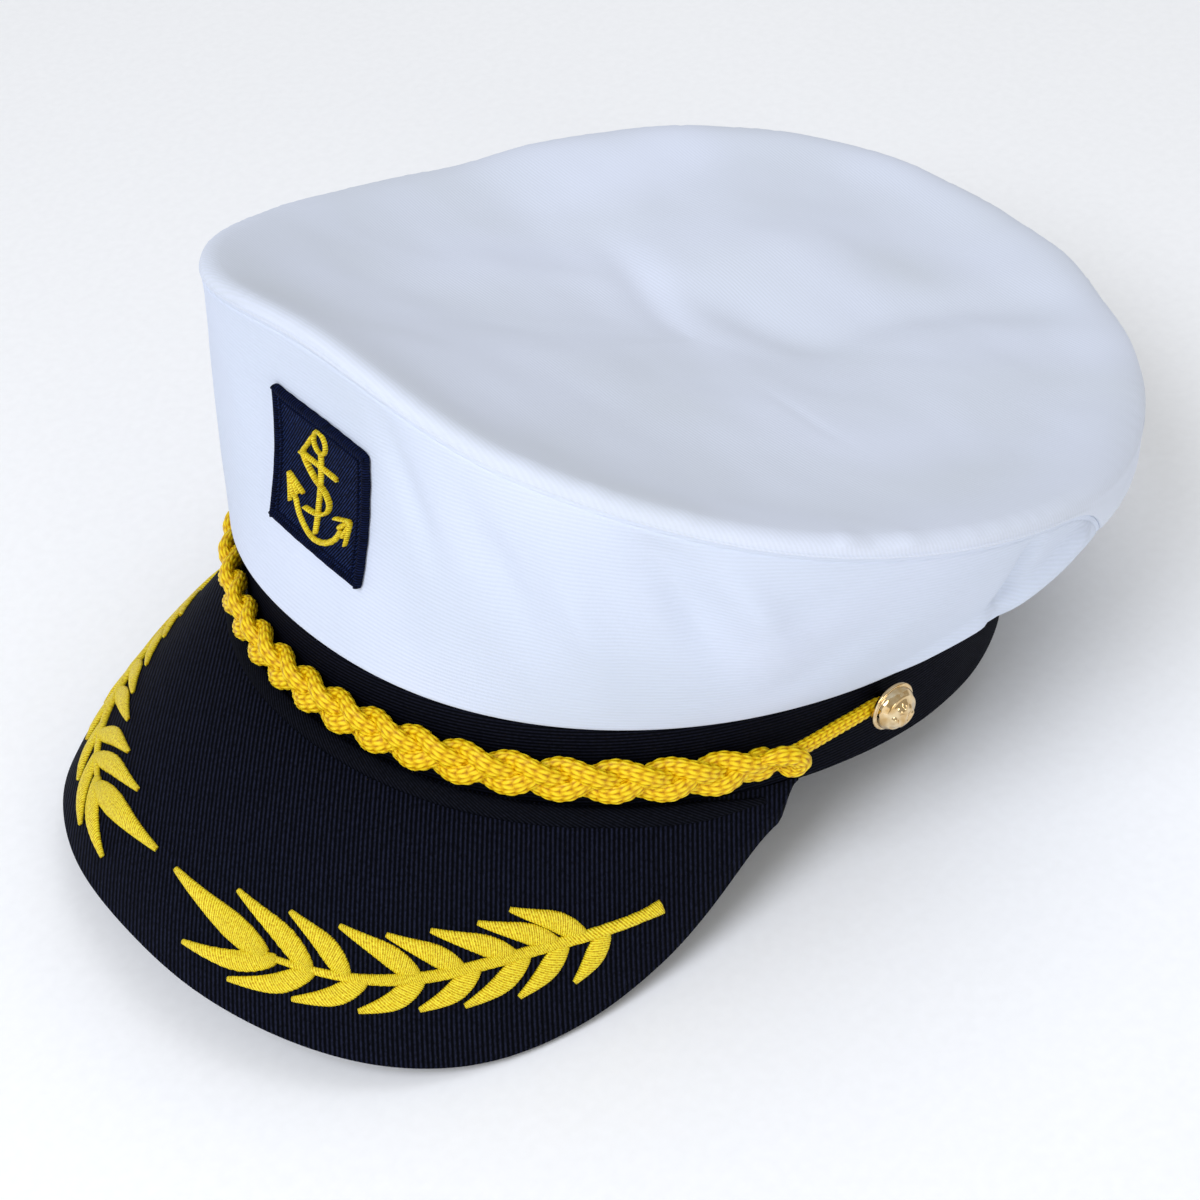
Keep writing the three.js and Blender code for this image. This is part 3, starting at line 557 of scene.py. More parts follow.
def floor_paper():
    # Matte white background paper with a barely visible grain.
    material, tree, shader = new_material("matte_white_paper", Roughness=0.9, Specular_IOR_Level=0.1)
    spot = node(tree, "ShaderNodeTexCoord").outputs["Object"]
    place = node(tree, "ShaderNodeMapping", None, {"Vector": spot, "Scale": IN_MM["Object"]})
    grain = node(tree, "ShaderNodeTexNoise", None, {"Vector": place, "Scale": 1 / 3.0, "Detail": 2.0})
    stops = [(0.3, "#fcfcfc"), (0.7, "#ffffff")]
    colour = node(tree, "ShaderNodeValToRGB", {"stops": stops}, {"Fac": grain.outputs["Fac"]})
    tree.links.new(colour.outputs["Color"], shader.inputs["Base Color"])
    return material


# The side and the top are one white twill. The side's whites are a little darker, painted shade that evens
# out the stronger light on the side; the top's are a little less blue, painted for its neutral shade.
WALL_WHITES = [(0.35, "#d0d8e6"), (0.6, "#d4dcec"), (0.85, "#d9e0f1")]
TOP_WHITES = [(0.35, "#d6dce6"), (0.6, "#dae0ed"), (0.85, "#dfe5f4")]
WALL_TWILL = white_twill("white_cotton_twill_side", "UV", 90, 1.0, 0.045, WALL_WHITES)
TOP_TWILL = white_twill("white_cotton_twill_top", "Object", 90, 0.9, 0.025, TOP_WHITES)
# The second colour of each black cloth is the painted highlight on its wales.
BAND_RIB = black_rib("black_twill_band", "UV", 86, 0.9, "#171926", 0.12)
VISOR_RIB = black_rib("black_twill_visor", "Object", -45, 1.05, "#1e2133", 0.2)
STRIP_RIB = black_rib("black_twill_strip", "UV", 30, 0.6, "#171923", 0.04)
CORD_YARN = gold_cord()
THREAD = gold_thread()
# The second colour of each navy cloth is the painted glint of its threads.
PATCH_FELT = navy_cloth("navy_felt", 30, "#020410", "#20305e")
BORDER_THREAD = navy_cloth("navy_overlock_thread", 90, "#030612", "#151f45")
BUTTON_GOLD = button_metal()


# Crown
def back_side(turn, start, full, last, end):
    """Rises from 0 to 1 between two turns on the wearer's left and falls on the right."""
    return smooth(start, full, turn % 360) * (1 - smooth(last, end, turn % 360))


def lip_back(turn):
    """Share of the wide soft rim of the back at a turn."""
    return back_side(turn, 95, 125, 285, 325)


def seam_drop(turn):
    """How far the seam lies under the rim. At the back the top cloth hangs over it."""
    return SEAM_DROP_FRONT + SEAM_DROP_BACK * back_side(turn, 93, 120, 250, 312)


# Creases of the side wall: turn, height, lean in degrees per millimetre, half width in degrees
# towards the front and towards the back, half height, and depth. Below 0 it is a hollow.
WALL_CREASES = [
    (94.6, 52, 0.45, 1.6, 5.0, 25, 3.5), (90.8, 52, -0.12, 1.2, 1.0, 20, -3.2),
    (50, 63, -0.38, 2.6, 3.0, 17, -2.7), (58, 60, -0.38, 2.2, 2.8, 15, 2.3),
    (40, 55, -0.3, 2.3, 2.8, 16, 1.9),
    (30, 62, -0.35, 2.4, 2.6, 15, -1.9), (17, 72, -0.3, 1.9, 2.3, 14, -1.5),
    (70, 45, 0.2, 4, 4, 14, -1.0), (-28, 62, -0.2, 5, 5, 16, -0.7), (24, 40, 0.2, 5, 6, 14, 0.5),
    (150, 35, 0.2, 5, 5, 14, -1.2), (205, 36, -0.2, 6, 6, 14, -1.3), (245, 40, 0.3, 2, 4, 16, 1.3),
    (262, 42, 0.3, 5, 5, 14, -1.1), (300, 55, 0.1, 6, 6, 16, -0.8),
]


def wall_relief(turn, height, below_seam):
    """How far the side cloth stands out of its plain shape."""
    turn = (turn + 180) % 360 - 180
    value = 0
    for at, middle, lean, front, back, tall, depth in WALL_CREASES:
        off = (turn - at - lean * (height - middle) + 180) % 360 - 180
        if abs(off) < 20:
            value += depth * hump(off, front if off < 0 else back) * hump(height - middle, tall)
    angle = math.radians(turn)
    round_x, round_y = math.sin(angle) * 2.6, math.cos(angle) * 2.6
    value += WALL_WAVE * ripple(round_x, round_y, height / 40)
    value += WALL_WRINKLE * ripple(round_x * 4, round_y * 4, height / 9 + 7)
    ends = smooth(0, 10, height - WALL_FOOT) * smooth(0, 6, below_seam)
    pucker = WALL_PUCKER * ripple(turn * 0.9, 3, 1) * hump(below_seam, 4)
    return value * ends + pucker - STITCH_DEPTH * hump(below_seam - STITCH_LINE, STITCH_WIDTH)


# Rows of the side wall: heights over its foot, plain rows between, and depths under the seam
WALL_LOW = [0, 0.12, 0.3, 0.55, 0.85, 1.2, 1.8]
WALL_MIDDLE = 36
WALL_HIGH = [4.6, 3.4, 2.6, 2.1, 1.8, 1.6, 1.45, 1.3, 1.15, 1.0, 0.8, 0.6, 0.4, 0.25, 0.1, 0]
COLUMNS = 420


def column_turn(column):
    """Turn of a column of cloth round the hat, from its back seam at -180 degrees."""
    return 360 * (column % COLUMNS) / COLUMNS - 180


def round_cloth(rows, place, measure, merge=1e-6):
    """Cloth that runs round the hat, closed at its back seam."""
    bm = bmesh.new()
    made = bent_grid(bm, COLUMNS, rows, place, measure)
    bmesh.ops.remove_doubles(bm, verts=made, dist=merge)
    turn_outward(bm)
    return bm


def wall_height(column, row):
    """Turn, height of the wall that shows there, and height of this row."""
    turn = column_turn(column)
    shown = rim_point(turn).z - seam_drop(turn) - WALL_FOOT
    if row < len(WALL_LOW):
        return turn, shown, WALL_LOW[row]
    if row < len(WALL_LOW) + WALL_MIDDLE:
        share = (row - len(WALL_LOW) + 1) / (WALL_MIDDLE + 1)
        return turn, shown, WALL_LOW[-1] + share * (shown - WALL_HIGH[0] - WALL_LOW[-1])
    return turn, shown, shown - WALL_HIGH[row - len(WALL_LOW) - WALL_MIDDLE]


def rounded_in(distance, radius):
    """How far a rounded edge lies inward at a distance from its end."""
    if distance >= radius:
        return 0
    return radius - math.sqrt(max(radius ** 2 - (radius - distance) ** 2, 0))


def wall_place(column, row):
    turn, shown, height = wall_height(column, row)
    below = shown - height
    inward = rounded_in(height, WALL_FOOT_ROUND) + rounded_in(below, SEAM_TUCK)
    tall = rim_point(turn).z - CLOTH - GAP - WALL_FOOT
    point = wall_point(turn, height / tall, inward)
    return point + band_out(turn) * wall_relief(turn, point.z, below)


def build_wall():
    def measure(column, row):
        return RIM_ROUND * column / COLUMNS, wall_height(column, row)[2]

    bm = round_cloth(len(WALL_LOW) + WALL_MIDDLE + len(WALL_HIGH) - 1, wall_place, measure)
    thicken(piece("crown_wall", bm, WALL_TWILL, "white_twill", "crown_side"), SHOWN_CLOTH)


rim_mean = sum(rim_point(turn).z for turn in range(0, 360, 30)) / 12


def fold_height(folds, x, y):
    """Height that these folds give the top at a spot."""
    value = 0
    for at_x, at_y, heading, length, width, height in folds:
        angle = math.radians(heading)
        dx, dy = x - at_x, y - at_y
        down = (dx * math.cos(angle) + dy * math.sin(angle)) / length
        over = (dy * math.cos(angle) - dx * math.sin(angle)) / width
        value += height * math.exp(-down * down - over * over)
    return value


# Finer folds and dents of the top: x, y, heading, half length, half width and height.
TOP_CREASES = [
    (-27, 15, 161, 22, 6, -1.7), (0, 30, 21, 19, 8, -1.9), (14, 47, 90, 16, 8, -1.6),
    (17, 70, 75, 16, 8, -1.6), (29, 98, 63, 24, 9, -1.4), (-16, 58, 100, 32, 15, 1.8),
    (44, 1, -7, 14, 2.2, -0.25), (4, 42, 95, 48, 42, -5.5), (-60, -8, 150, 24, 12, 1.0),
    (-35, -40, 20, 26, 12, -0.8), (20, -45, 25, 36, 12, -0.9), (72, 45, 95, 28, 12, -0.8),
    (-62, 60, 120, 26, 10, -1.2),
]
# Small pleats where the top is sewn to the side: turn, half width in degrees, height.
TOP_PLEATS = [
    (63.5, 1.3, 0.75), (66.4, 1.0, -0.4), (70.5, 1.5, 0.65), (30, 1.4, 0.3), (38, 1.2, 0.35),
    (47, 1.3, 0.3),
]
# Rows of the top panel: its hanging skirt, its rolled rim, and from there to the middle
SKIRT = 10
TOP_LIP = 14
TOP_INSIDE = 44


def skirt_place(turn, row, edge):
    """Part of the top panel that hangs over the wall, from its turned-in edge to the rim."""
    rim = rim_point(turn)
    away = (rim - Vector((0, CROWN_SETBACK, rim.z))).normalized()
    share = max(row - 1, 0) / (SKIRT - 1)
    drop = seam_drop(turn)
    height = rim.z - drop + share * (drop + edge)
    tall = rim.z - CLOTH - GAP - WALL_FOOT
    stand_off = SKIRT_LIFT + SKIRT_SWELL * lip_back(turn) * math.sin(math.pi * share)
    on_side = wall_point(turn, (height - WALL_FOOT) / tall, -stand_off)
    point = on_side.lerp(rim + away * SKIRT_LIFT, smooth(0.35, 1, share))
    point.z = height
    return point - away * SKIRT_TURN_IN if row == 0 else point


def top_place(column, row):
    turn = column_turn(column)
    rim = rim_point(turn)
    middle = Vector((0, CROWN_SETBACK, rim.z))
    reach = (rim - middle).length
    away = (rim - middle).normalized()
    back = lip_back(turn)
    edge = 0.4 - 0.9 * back
    if row <= SKIRT:
        return skirt_place(turn, row, edge)
    row -= SKIRT + 1
    width = LIP_WIDTH + (LIP_WIDTH_BACK - LIP_WIDTH) * back
    if row < TOP_LIP:
        angle = math.pi / 2 * (row + 1) / TOP_LIP
        inset = width * (1 - math.cos(angle)) - SKIRT_LIFT
        lip = math.sin(angle)
    else:
        angle = math.pi / 2
        t = (row - TOP_LIP + 1) / TOP_INSIDE
        inset = width - SKIRT_LIFT + (reach - width + SKIRT_LIFT) * t
        lip = math.exp(-((inset - width) / LIP_FADE) ** 1.5) if inset > width else 1
    share = 1 - inset / reach
    point = middle.lerp(rim, share)
    inside = 1 - max(share, 0) ** 3
    ahead = (middle.y - point.y) / CROWN_FRONT
    swell = TOP_SWELL * hump(ahead + 0.5, 0.35)
    across, along = point.x / CROWN_HALF_WIDTH, (point.y - middle.y) / CROWN_BACK
    folds = TOP_SWELL * fold_height(TOP_FOLDS, across, along)
    level = rim_mean + (rim.z - rim_mean) * max(share, 0) ** 1.2
    height = level + inside * (swell + folds - TOP_SAG)
    height += LIP_RISE * lip + edge * math.exp(-max(inset, 0) / LIP_FADE)
    height += back * 0.9 * ripple(turn / 11, 8, 1) * math.exp(-max(inset, 0) / 14)
    far = smooth(2, 22, inset)
    height += far * fold_height(TOP_CREASES, point.x, point.y)
    height += far * TOP_WAVE * ripple(point.x / 42, point.y / 42, 5)
    height += far * TOP_WRINKLE * ripple(point.x / 11, point.y / 11, 9)
    pucker = TOP_PUCKER * ripple(turn * 0.8, 4, 2)
    for at, wide, tall in TOP_PLEATS:
        pucker += tall * hump((turn - at + 180) % 360 - 180, wide)
    pucker *= hump(inset - 1.2, 3.8) * smooth(-SKIRT_LIFT, 0.3, inset)
    point.z = height + pucker * math.sin(angle)
    return point + away * pucker * math.cos(angle)


def build_top():
    rows = SKIRT + TOP_LIP + TOP_INSIDE
    bm = round_cloth(rows, top_place, lambda c, r: (RIM_ROUND * c / COLUMNS, r), merge=1e-5)
    thicken(piece("crown_panel", bm, TOP_TWILL, "white_twill", "crown_top"), SHOWN_CLOTH)


# Band
BAND_ROWS = 12


def band_place(column, row):
    turn = column_turn(column)
    height = BAND_HEIGHT * row / BAND_ROWS
    soft = 0.15 * ripple(turn / 9, height / 9, 3)
    return on_band(turn, soft, height)


def build_band():
    def measure(column, row):
        return BAND_ROUND * column / COLUMNS, BAND_HEIGHT * row / BAND_ROWS

    bm = round_cloth(BAND_ROWS, band_place, measure)
    thicken(piece("band_cloth", bm, BAND_RIB, "black_rib", "hat_band"), BAND_WALL, 0.5)


# Visor
VISOR_COLUMNS = 220
VISOR_ROWS = 60
VISOR_ROLL = 0.14  # share of the visor that turns under at its outer edge


def visor_closing(along):
    """Share of the visor's reach that is left where its ends taper off under the plait."""
    return (1 - 0.9 * smooth(0.955, 1, abs(along))) * (1 - 0.17 * hump(abs(along) - 0.95, 0.07))


def visor_place(column, row):
    along = 2 * column / VISOR_COLUMNS - 1
    closing = visor_closing(along)
    out = (1 - (row / VISOR_ROWS) ** 1.3) * closing
    normal = visor_normal(along, out)
    wave = 0.25 * ripple(along * 5, out * 2, 1) * smooth(0, 0.2, out)
    point = visor_point(along, out) + normal * wave
    turned_under = max(out / closing - 1 + VISOR_ROLL, 0) / VISOR_ROLL
    under = 0.7 * VISOR_THICKNESS / max(visor_normal(along, 1).z, 0.5)
    point.z -= under * turned_under ** 2 * closing
    return point


def build_visor():
    bm = bmesh.new()
    weight = bm.verts.layers.deform.verify()

    def thinner_at_ends(vert, column, _):
        vert[weight][0] = 1 - 0.85 * smooth(0.92, 1, abs(2 * column / VISOR_COLUMNS - 1))

    bent_grid(bm, VISOR_COLUMNS, VISOR_ROWS, visor_place, lambda c, r: (c, r), thinner_at_ends)
    turn_outward(bm, Vector((0, 0, -0.3)))
    cloth = piece("visor_cloth", bm, VISOR_RIB, "black_rib", "visor")
    thicken(cloth, VISOR_THICKNESS, 0.8, weighted=True)


def build_strip():
    """Plain folded strip that covers the seam between visor and band."""
    bm = bmesh.new()
    reach = 0.93  # share of the visor's root that it covers

    def spot(share):
        along = reach * (2 * share - 1)
        root, edge = visor_edge(along)
        width = min(BINDING_WIDTH / (edge - root).length, 0.6)
        out = BINDING_THICKNESS / (edge - root).length + width / 2
        normal = visor_normal(along, out)
        return visor_point(along, out) + normal * GAP, (edge - root).normalized(), normal

    def section(share, angle):
        root, edge = visor_edge(reach * (2 * share - 1))
        end = smooth(0, 0.07, min(share, 1 - share))
        half = min(BINDING_WIDTH, 0.6 * (edge - root).length) / 2 * (0.35 + 0.65 * end)
        height = BINDING_THICKNESS * (0.1 + 0.9 * end)
        rise = height * abs(math.sin(angle)) ** 0.55 if math.sin(angle) > 0 else 0
        return half * math.cos(angle), rise

    sweep(bm, 200, 16, spot, section, length=220)
    turn_outward(bm)
    piece("visor_strip", bm, STRIP_RIB, "black_rib", "visor_binding")


# Plait, knots and side cords
def knit(wale, stitch):
    """Height of a knitted face from 0 to 1: two slanting legs to a stitch, with a hole between."""
    leg = abs(wale - math.floor(wale) - 0.5)
    phase = math.cos(2 * math.pi * (stitch + 1.1 * leg))
    ridge = (0.5 + 0.5 * phase) ** 0.6
    between_legs = max(math.sin(2 * math.pi * leg), 0) ** 0.4
    hole = hump(leg - 0.5, 0.13) * max(-phase, 0)
    return max(0.3 + 0.7 * ridge * (0.45 + 0.55 * between_legs) - 0.3 * (1 - between_legs) - 0.6 * hole, 0)


def knitted(name, path, width, depth, nodes, fineness=1.0, taper=0.0):
    """Knitted cord along a path of points with an outward direction at each."""
    bm = bmesh.new()
    layer = bm.verts.layers.float.new("loop_height")
    lengths = [0]
    for (a, _), (b, _) in zip(path, path[1:]):
        lengths.append(lengths[-1] + (b - a).length)
    steps = len(path) - 1
    sides = KNIT_WALES * KNIT_FACETS

    def spot(index):
        middle, out = path[index]
        along = path[min(index + 1, steps)][0] - path[max(index - 1, 0)][0]
        across = along.normalized().cross(out).normalized()
        return middle, across, across.cross(along).normalized()

    def section(index, row):
        """Across and up from the cord's middle, and the height of the knit there."""
        angle = 2 * math.pi * (row % sides) / sides
        height = knit(KNIT_WALES * angle / (2 * math.pi), lengths[index] / (KNIT_PITCH * fineness))
        end = min(index, steps - index) / steps * lengths[-1]
        close = 1 - taper * (1 - smooth(0, 4, end))
        grow = KNIT_RELIEF * fineness * (height - 0.7)
        x, y = (width / 2 * close + grow) * math.cos(angle), (depth / 2 * close + grow) * math.sin(angle)
        return x, y, height

    # The knit's height is kept on each vertex; the yarn's colour paints shade where it is low and a
    # highlight where it is high.
    def keep_height(vert, column, row):
        vert[layer] = section(column, row)[2]

    spots = [spot(step) for step in range(steps + 1)]
    strand(bm, sides, spots, section, lambda c, r: (r / sides, lengths[c]), keep_height)
    bmesh.ops.recalc_face_normals(bm, faces=bm.faces)
    return piece(name, bm, CORD_YARN, "gold_cord", *nodes)


def band_arc(turn):
    """Length along the band from the front to a turn."""
    spots = [band_outline(turn * k / 60) for k in range(61)]
    return sum((b - a).length for a, b in zip(spots, spots[1:]))


def build_plait():
    waves = 2 * band_arc(PLAIT_END) / PLAIT_PITCH
    steps = 880
    for letter, phase in zip("abc", (0, 1 / 3, 2 / 3)):
        path = []
        for step in range(steps + 1):
            share = step / steps
            swing = 2 * math.pi * (waves * (share - 0.5) + phase)
            turn = PLAIT_END * (2 * share - 1)
            near = 1 - smooth(0.44, 0.5, abs(share - 0.5))
            depth = GAP + CORD_DEPTH / 2 + CORD_SWING * (1 - math.sin(2 * swing)) * (0.6 + 0.4 * near)
            height = PLAIT_LIFT + CORD_SPREAD * math.sin(swing) * (0.5 + 0.5 * near)
            path.append((on_band(turn, depth, height), band_out(turn)))
        node_name = f"braid_strand_{letter}"
        knitted(f"plait_cord_{letter}", path, CORD_WIDTH, CORD_DEPTH, [node_name], taper=0.6)


def curve_points(stops, steps):
    """Smooth path through stops of any size."""
    last = len(stops) - 1
    points = []
    for step in range(steps + 1):
        place = last * step / steps
        row = min(int(place), last - 1)
        pick = [stops[min(max(row + k, 0), last)] for k in (-1, 0, 1, 2)]
        points.append([blend(*values, place - row) for values in zip(*pick)])
    return points


# Loop at the plait's end: arc past the plait, height over the plait's middle, and distance out.
KNOT_LOOP = [
    (-10.0, 1.2, 3.4), (-6.5, 3.4, 5.4), (-3.0, 3.6, 6.4), (-0.6, 2.2, 6.6), (0.2, 0.4, 6.2),
    (-0.4, -1.2, 5.4), (-1.8, -1.8, 4.4), (-3.6, -1.5, 3.4),
]


def build_ends():
    degree = math.degrees(1 / BAND_FRONT)
    for side, hand in (("left", 1), ("right", -1)):
        knot = PLAIT_END + 4.0 * degree
        path = []
        for arc, lift, offset in curve_points(KNOT_LOOP, 90):
            turn = hand * (knot + arc * degree)
            path.append((on_band(turn, offset, PLAIT_LIFT + lift), band_out(turn)))
        knitted(f"plait_knot_{side}", path, 4.6, 4.0, [f"braid_knot_{side}"], taper=0.5)
        rise = BUTTON_LIFT - PLAIT_LIFT
        stops = [(knot - 3 * degree, 4.0, 0.22 * rise), (knot + 4 * degree, 3.2, 0.4 * rise),
                 (knot + 11 * degree, 2.5, 0.6 * rise), (knot + 18 * degree, 2.2, 0.8 * rise),
                 (BUTTON_TURN - 0.5, 2.0, rise)]
        path = []
        for turn, offset, lift in curve_points(stops, 130):
            path.append((on_band(hand * turn, offset, PLAIT_LIFT + lift), band_out(hand * turn)))
        knitted(f"button_cord_{side}", path, 1.1 * SIDE_CORD, 2.8, [f"side_cord_{side}"],
                fineness=0.8, taper=0.3)


# Buttons
# Raised figure, in shares of the button's radius: a plain anchor
BUTTON_FIGURE = [
    [(0, -0.48), (0, 0.46)], [(-0.22, 0.24), (0.22, 0.24)],
    [(-0.46, -0.1), (-0.33, -0.36), (0, -0.5), (0.33, -0.36), (0.46, -0.1)],
]


def stroke_distance(x, y, strokes):
    """Distance of a spot from the nearest line of a figure."""
    nearest = 9.0  # further than any line
    for stroke in strokes:
        for (ax, ay), (bx, by) in zip(stroke, stroke[1:]):
            px, py, dx, dy = x - ax, y - ay, bx - ax, by - ay
            t = min(max((px * dx + py * dy) / (dx * dx + dy * dy), 0), 1)
            nearest = min(nearest, math.hypot(px - t * dx, py - t * dy))
    return nearest


def build_buttons():
    back = SIDE_CORD + 2 * GAP
    rim = BUTTON_RADIUS
    top = back + BUTTON_RIM
    shank = 1.5
    # Outline from the shank over the rolled rim to the dome: radius and height
    profile = [
        (0.01, GAP), (shank, GAP), (shank, back - 0.1), (rim * 0.8, back), (rim * 0.97, back + 0.2),
        (rim, back + 0.5 * BUTTON_RIM), (rim * 0.985, back + 0.85 * BUTTON_RIM), (rim * 0.94, top),
        (rim * 0.9, back + BUTTON_RIM * 0.95),
    ]
    dome = 26
    for step in range(dome + 1):
        angle = math.pi / 2 * step / dome
        profile.append((rim * 0.88 * math.cos(angle) + 0.0001, top + BUTTON_DOME * math.sin(angle)))
    for side, hand in (("left", 1), ("right", -1)):
        bm = bmesh.new()
        verts = [bm.verts.new((radius, 0, rise)) for radius, rise in profile]
        edges = [bm.edges.new(pair) for pair in zip(verts, verts[1:])]
        bmesh.ops.spin(bm, geom=verts + edges, cent=(0, 0, 0), axis=(0, 0, 1), angle=2 * math.pi, steps=96,
                       use_merge=True)
        bmesh.ops.remove_doubles(bm, verts=bm.verts, dist=0.02)
        base = on_band(hand * BUTTON_TURN, 0, BUTTON_LIFT)
        out = band_out(hand * BUTTON_TURN)
        up = Vector((0, 0, 1))
        right = up.cross(out)
        for vert in bm.verts:
            x, y, z = vert.co
            if z > top:
                away = stroke_distance(x / rim, y / rim, BUTTON_FIGURE)
                z += 0.6 * (1 - smooth(0.04, 0.17, away))
                z += 0.3 * hump(math.hypot(x, y) / rim - 0.72, 0.04)  # pressed ring round it
            vert.co = seat(base + right * x + up * y + out * z)
        bmesh.ops.recalc_face_normals(bm, faces=bm.faces)
        piece(f"domed_button_{side}", bm, BUTTON_GOLD, "gold_metal", f"button_{side}")


# Patch
PATCH_HEM = 2.4  # how much smaller the felt is than its overlocked border
# Border of the patch: inset of its middle line, width and height
BORDER_LINES = ((1.05, 2.1, 1.5), (2.9, 0.9, 1.25))
patch_middle = WALL_FOOT + PATCH_CENTRE_SHARE * (rim_point(0).z - WALL_FOOT)


def on_patch(side, rise, lift):
    """Point across and over the patch's middle, lifted off the wall."""
    lean = math.radians(PATCH_LEAN)
    across = side * math.cos(lean) + rise * math.sin(lean)
    up = rise * math.cos(lean) - side * math.sin(lean)
    return on_wall(across, patch_middle + up, lift)


def patch_stroke(bm, stops, width, height, lift, steps=40, closed=False, taper=0.25):
    """Raised satin stroke along stops given in millimetres from the patch's middle."""
    if closed:
        stops = stops + [stops[0]]
    line = curve_points(stops, steps)
    length = sum(math.dist(a, b) for a, b in zip(line, line[1:]))

    def spot(share):
        index = round(share * steps)
        before = line[max(index - 1, 0)] if not closed else line[(index - 1) % steps]
        after = line[min(index + 1, steps)] if not closed else line[(index + 1) % steps]
        x, y = line[index]
        middle = on_patch(x, y, lift)
        heading = on_patch(*after, lift) - on_patch(*before, lift)
        out = (on_patch(x, y, lift + 1) - middle).normalized()
        return middle, heading.cross(out).normalized(), out

    def section(share, angle):
        half = (width(share) if callable(width) else width) / 2
        end = min(share, 1 - share) * length
        half += 0.06 * math.sin(2 * math.pi * share * length / 0.8)
        if not closed:
            half *= 1 - taper * (1 - smooth(0, 1.2, end))
        rise = height * math.sin(angle) if math.sin(angle) > 0 else 0.15 * math.sin(angle)
        return half * math.cos(angle), rise

    sweep(bm, steps, 14, spot, section, length)


def build_patch():
    bm = bmesh.new()
    across, up = PATCH_WIDTH - PATCH_HEM, PATCH_HEIGHT - PATCH_HEM
    steps = 24

    def place(column, row):
        x = across * (column / steps - 0.5)
        y = up * (row / steps - 0.5)
        return on_patch(x, y, GAP + PATCH_THICKNESS + 0.1 * ripple(x / 4, y / 4, 0))

    bent_grid(bm, steps, steps, place, lambda c, r: (across * c / steps, up * r / steps))
    turn_outward(bm)
    thicken(piece("patch_felt", bm, PATCH_FELT, "navy_felt", "anchor_patch"), PATCH_THICKNESS)

    bm = bmesh.new()
    for inset, width, height in BORDER_LINES:
        x, y = PATCH_WIDTH / 2 - inset, PATCH_HEIGHT / 2 - inset
        corners = [(-x, -y), (x, -y), (x, y), (-x, y)]
        for start, end in zip(corners, corners[1:] + corners[:1]):
            side = Vector(end) - Vector(start)
            over = side.normalized() * width * 0.32  # so that two sides meet in a full corner
            first, last = Vector(start) - over, Vector(end) + over
            stops = [first.lerp(last, k / 6) for k in range(7)]
            patch_stroke(bm, stops, width, height, GAP, 48, taper=0.35)
    bmesh.ops.recalc_face_normals(bm, faces=bm.faces)
    piece("patch_overlock", bm, BORDER_THREAD, "navy_felt", "patch_border")


# Fouled anchor in shares of the patch, across from its left side and down from its top. The
# strokes are the shank, the stock and the arms, each with its width and height.
ANCHOR_STROKES = [
    ([(0.52, 0.25), (0.52, 0.45), (0.52, 0.65), (0.515, 0.84)], 1.45, 0.95),
    ([(0.3, 0.35), (0.5, 0.347), (0.7, 0.345)], 1.2, 1.05),
    ([(0.27, 0.69), (0.33, 0.79), (0.42, 0.86), (0.515, 0.885), (0.62, 0.855), (0.71, 0.78),
      (0.77, 0.675)], 1.4, 0.95),
]
ANCHOR_RING = (0.513, 0.172, 0.062, 0.078)  # middle, half width and half height
ANCHOR_ROPE = [
    (0.45, 0.15), (0.389, 0.243), (0.34, 0.323), (0.381, 0.392), (0.467, 0.458), (0.53, 0.48),
    (0.59, 0.506), (0.635, 0.565), (0.602, 0.645), (0.506, 0.7), (0.387, 0.713),
]


def to_patch(across, down):
    """Shares of the patch turned to millimetres from its middle."""
    return ((across - 0.5) * PATCH_WIDTH, (0.5 - down) * PATCH_HEIGHT)


def build_anchor():
    bm = bmesh.new()
    lift = GAP + PATCH_THICKNESS
    for stops, width, height in ANCHOR_STROKES:
        patch_stroke(bm, [to_patch(*stop) for stop in stops], width, height, lift)
    ring_x, ring_y, half_wide, half_tall = ANCHOR_RING
    ring = [
        to_patch(ring_x + half_wide * math.sin(turn), ring_y - half_tall * math.cos(turn))
        for turn in (step * math.pi / 6 for step in range(12))
    ]
    patch_stroke(bm, ring, 0.95, 1.0, lift, 48, closed=True)
    patch_stroke(bm, [to_patch(*stop) for stop in ANCHOR_ROPE], 0.9, 1.35, lift, 70)
    middle = 0.525
    for hand in (-1, 1):
        # Each fluke is two barbs from one tip, with a filled face between them
        tip = Vector((middle + hand * 0.335, 0.56))
        notch = Vector((middle + hand * 0.25, 0.685))
        for reach, down in ((0.165, 0.632), (0.298, 0.757)):
            barb = Vector((middle + hand * reach, down))
            stops = [to_patch(*spot) for spot in (tip, (tip + barb) / 2, barb)]
            patch_stroke(bm, stops, 0.9, 1.0, lift, 24)
            face = [to_patch(*spot) for spot in (tip, (notch * 2 + barb) / 3)]
            patch_stroke(bm, face, lambda share: 0.35 + 1.15 * share, 1.05, lift, 24)
    bmesh.ops.recalc_face_normals(bm, faces=bm.faces)
    piece("anchor_stitching", bm, THREAD, "gold_thread", "anchor_badge")


# Laurel branches
def stem_out(along):
    """Share of the visor's reach at which the stem lies."""
    for (a, out_a), (b, out_b) in zip(STEM, STEM[1:]):
        if along <= b:
            return out_a + (out_b - out_a) * (along - a) / (b - a)
    return STEM[-1][1]


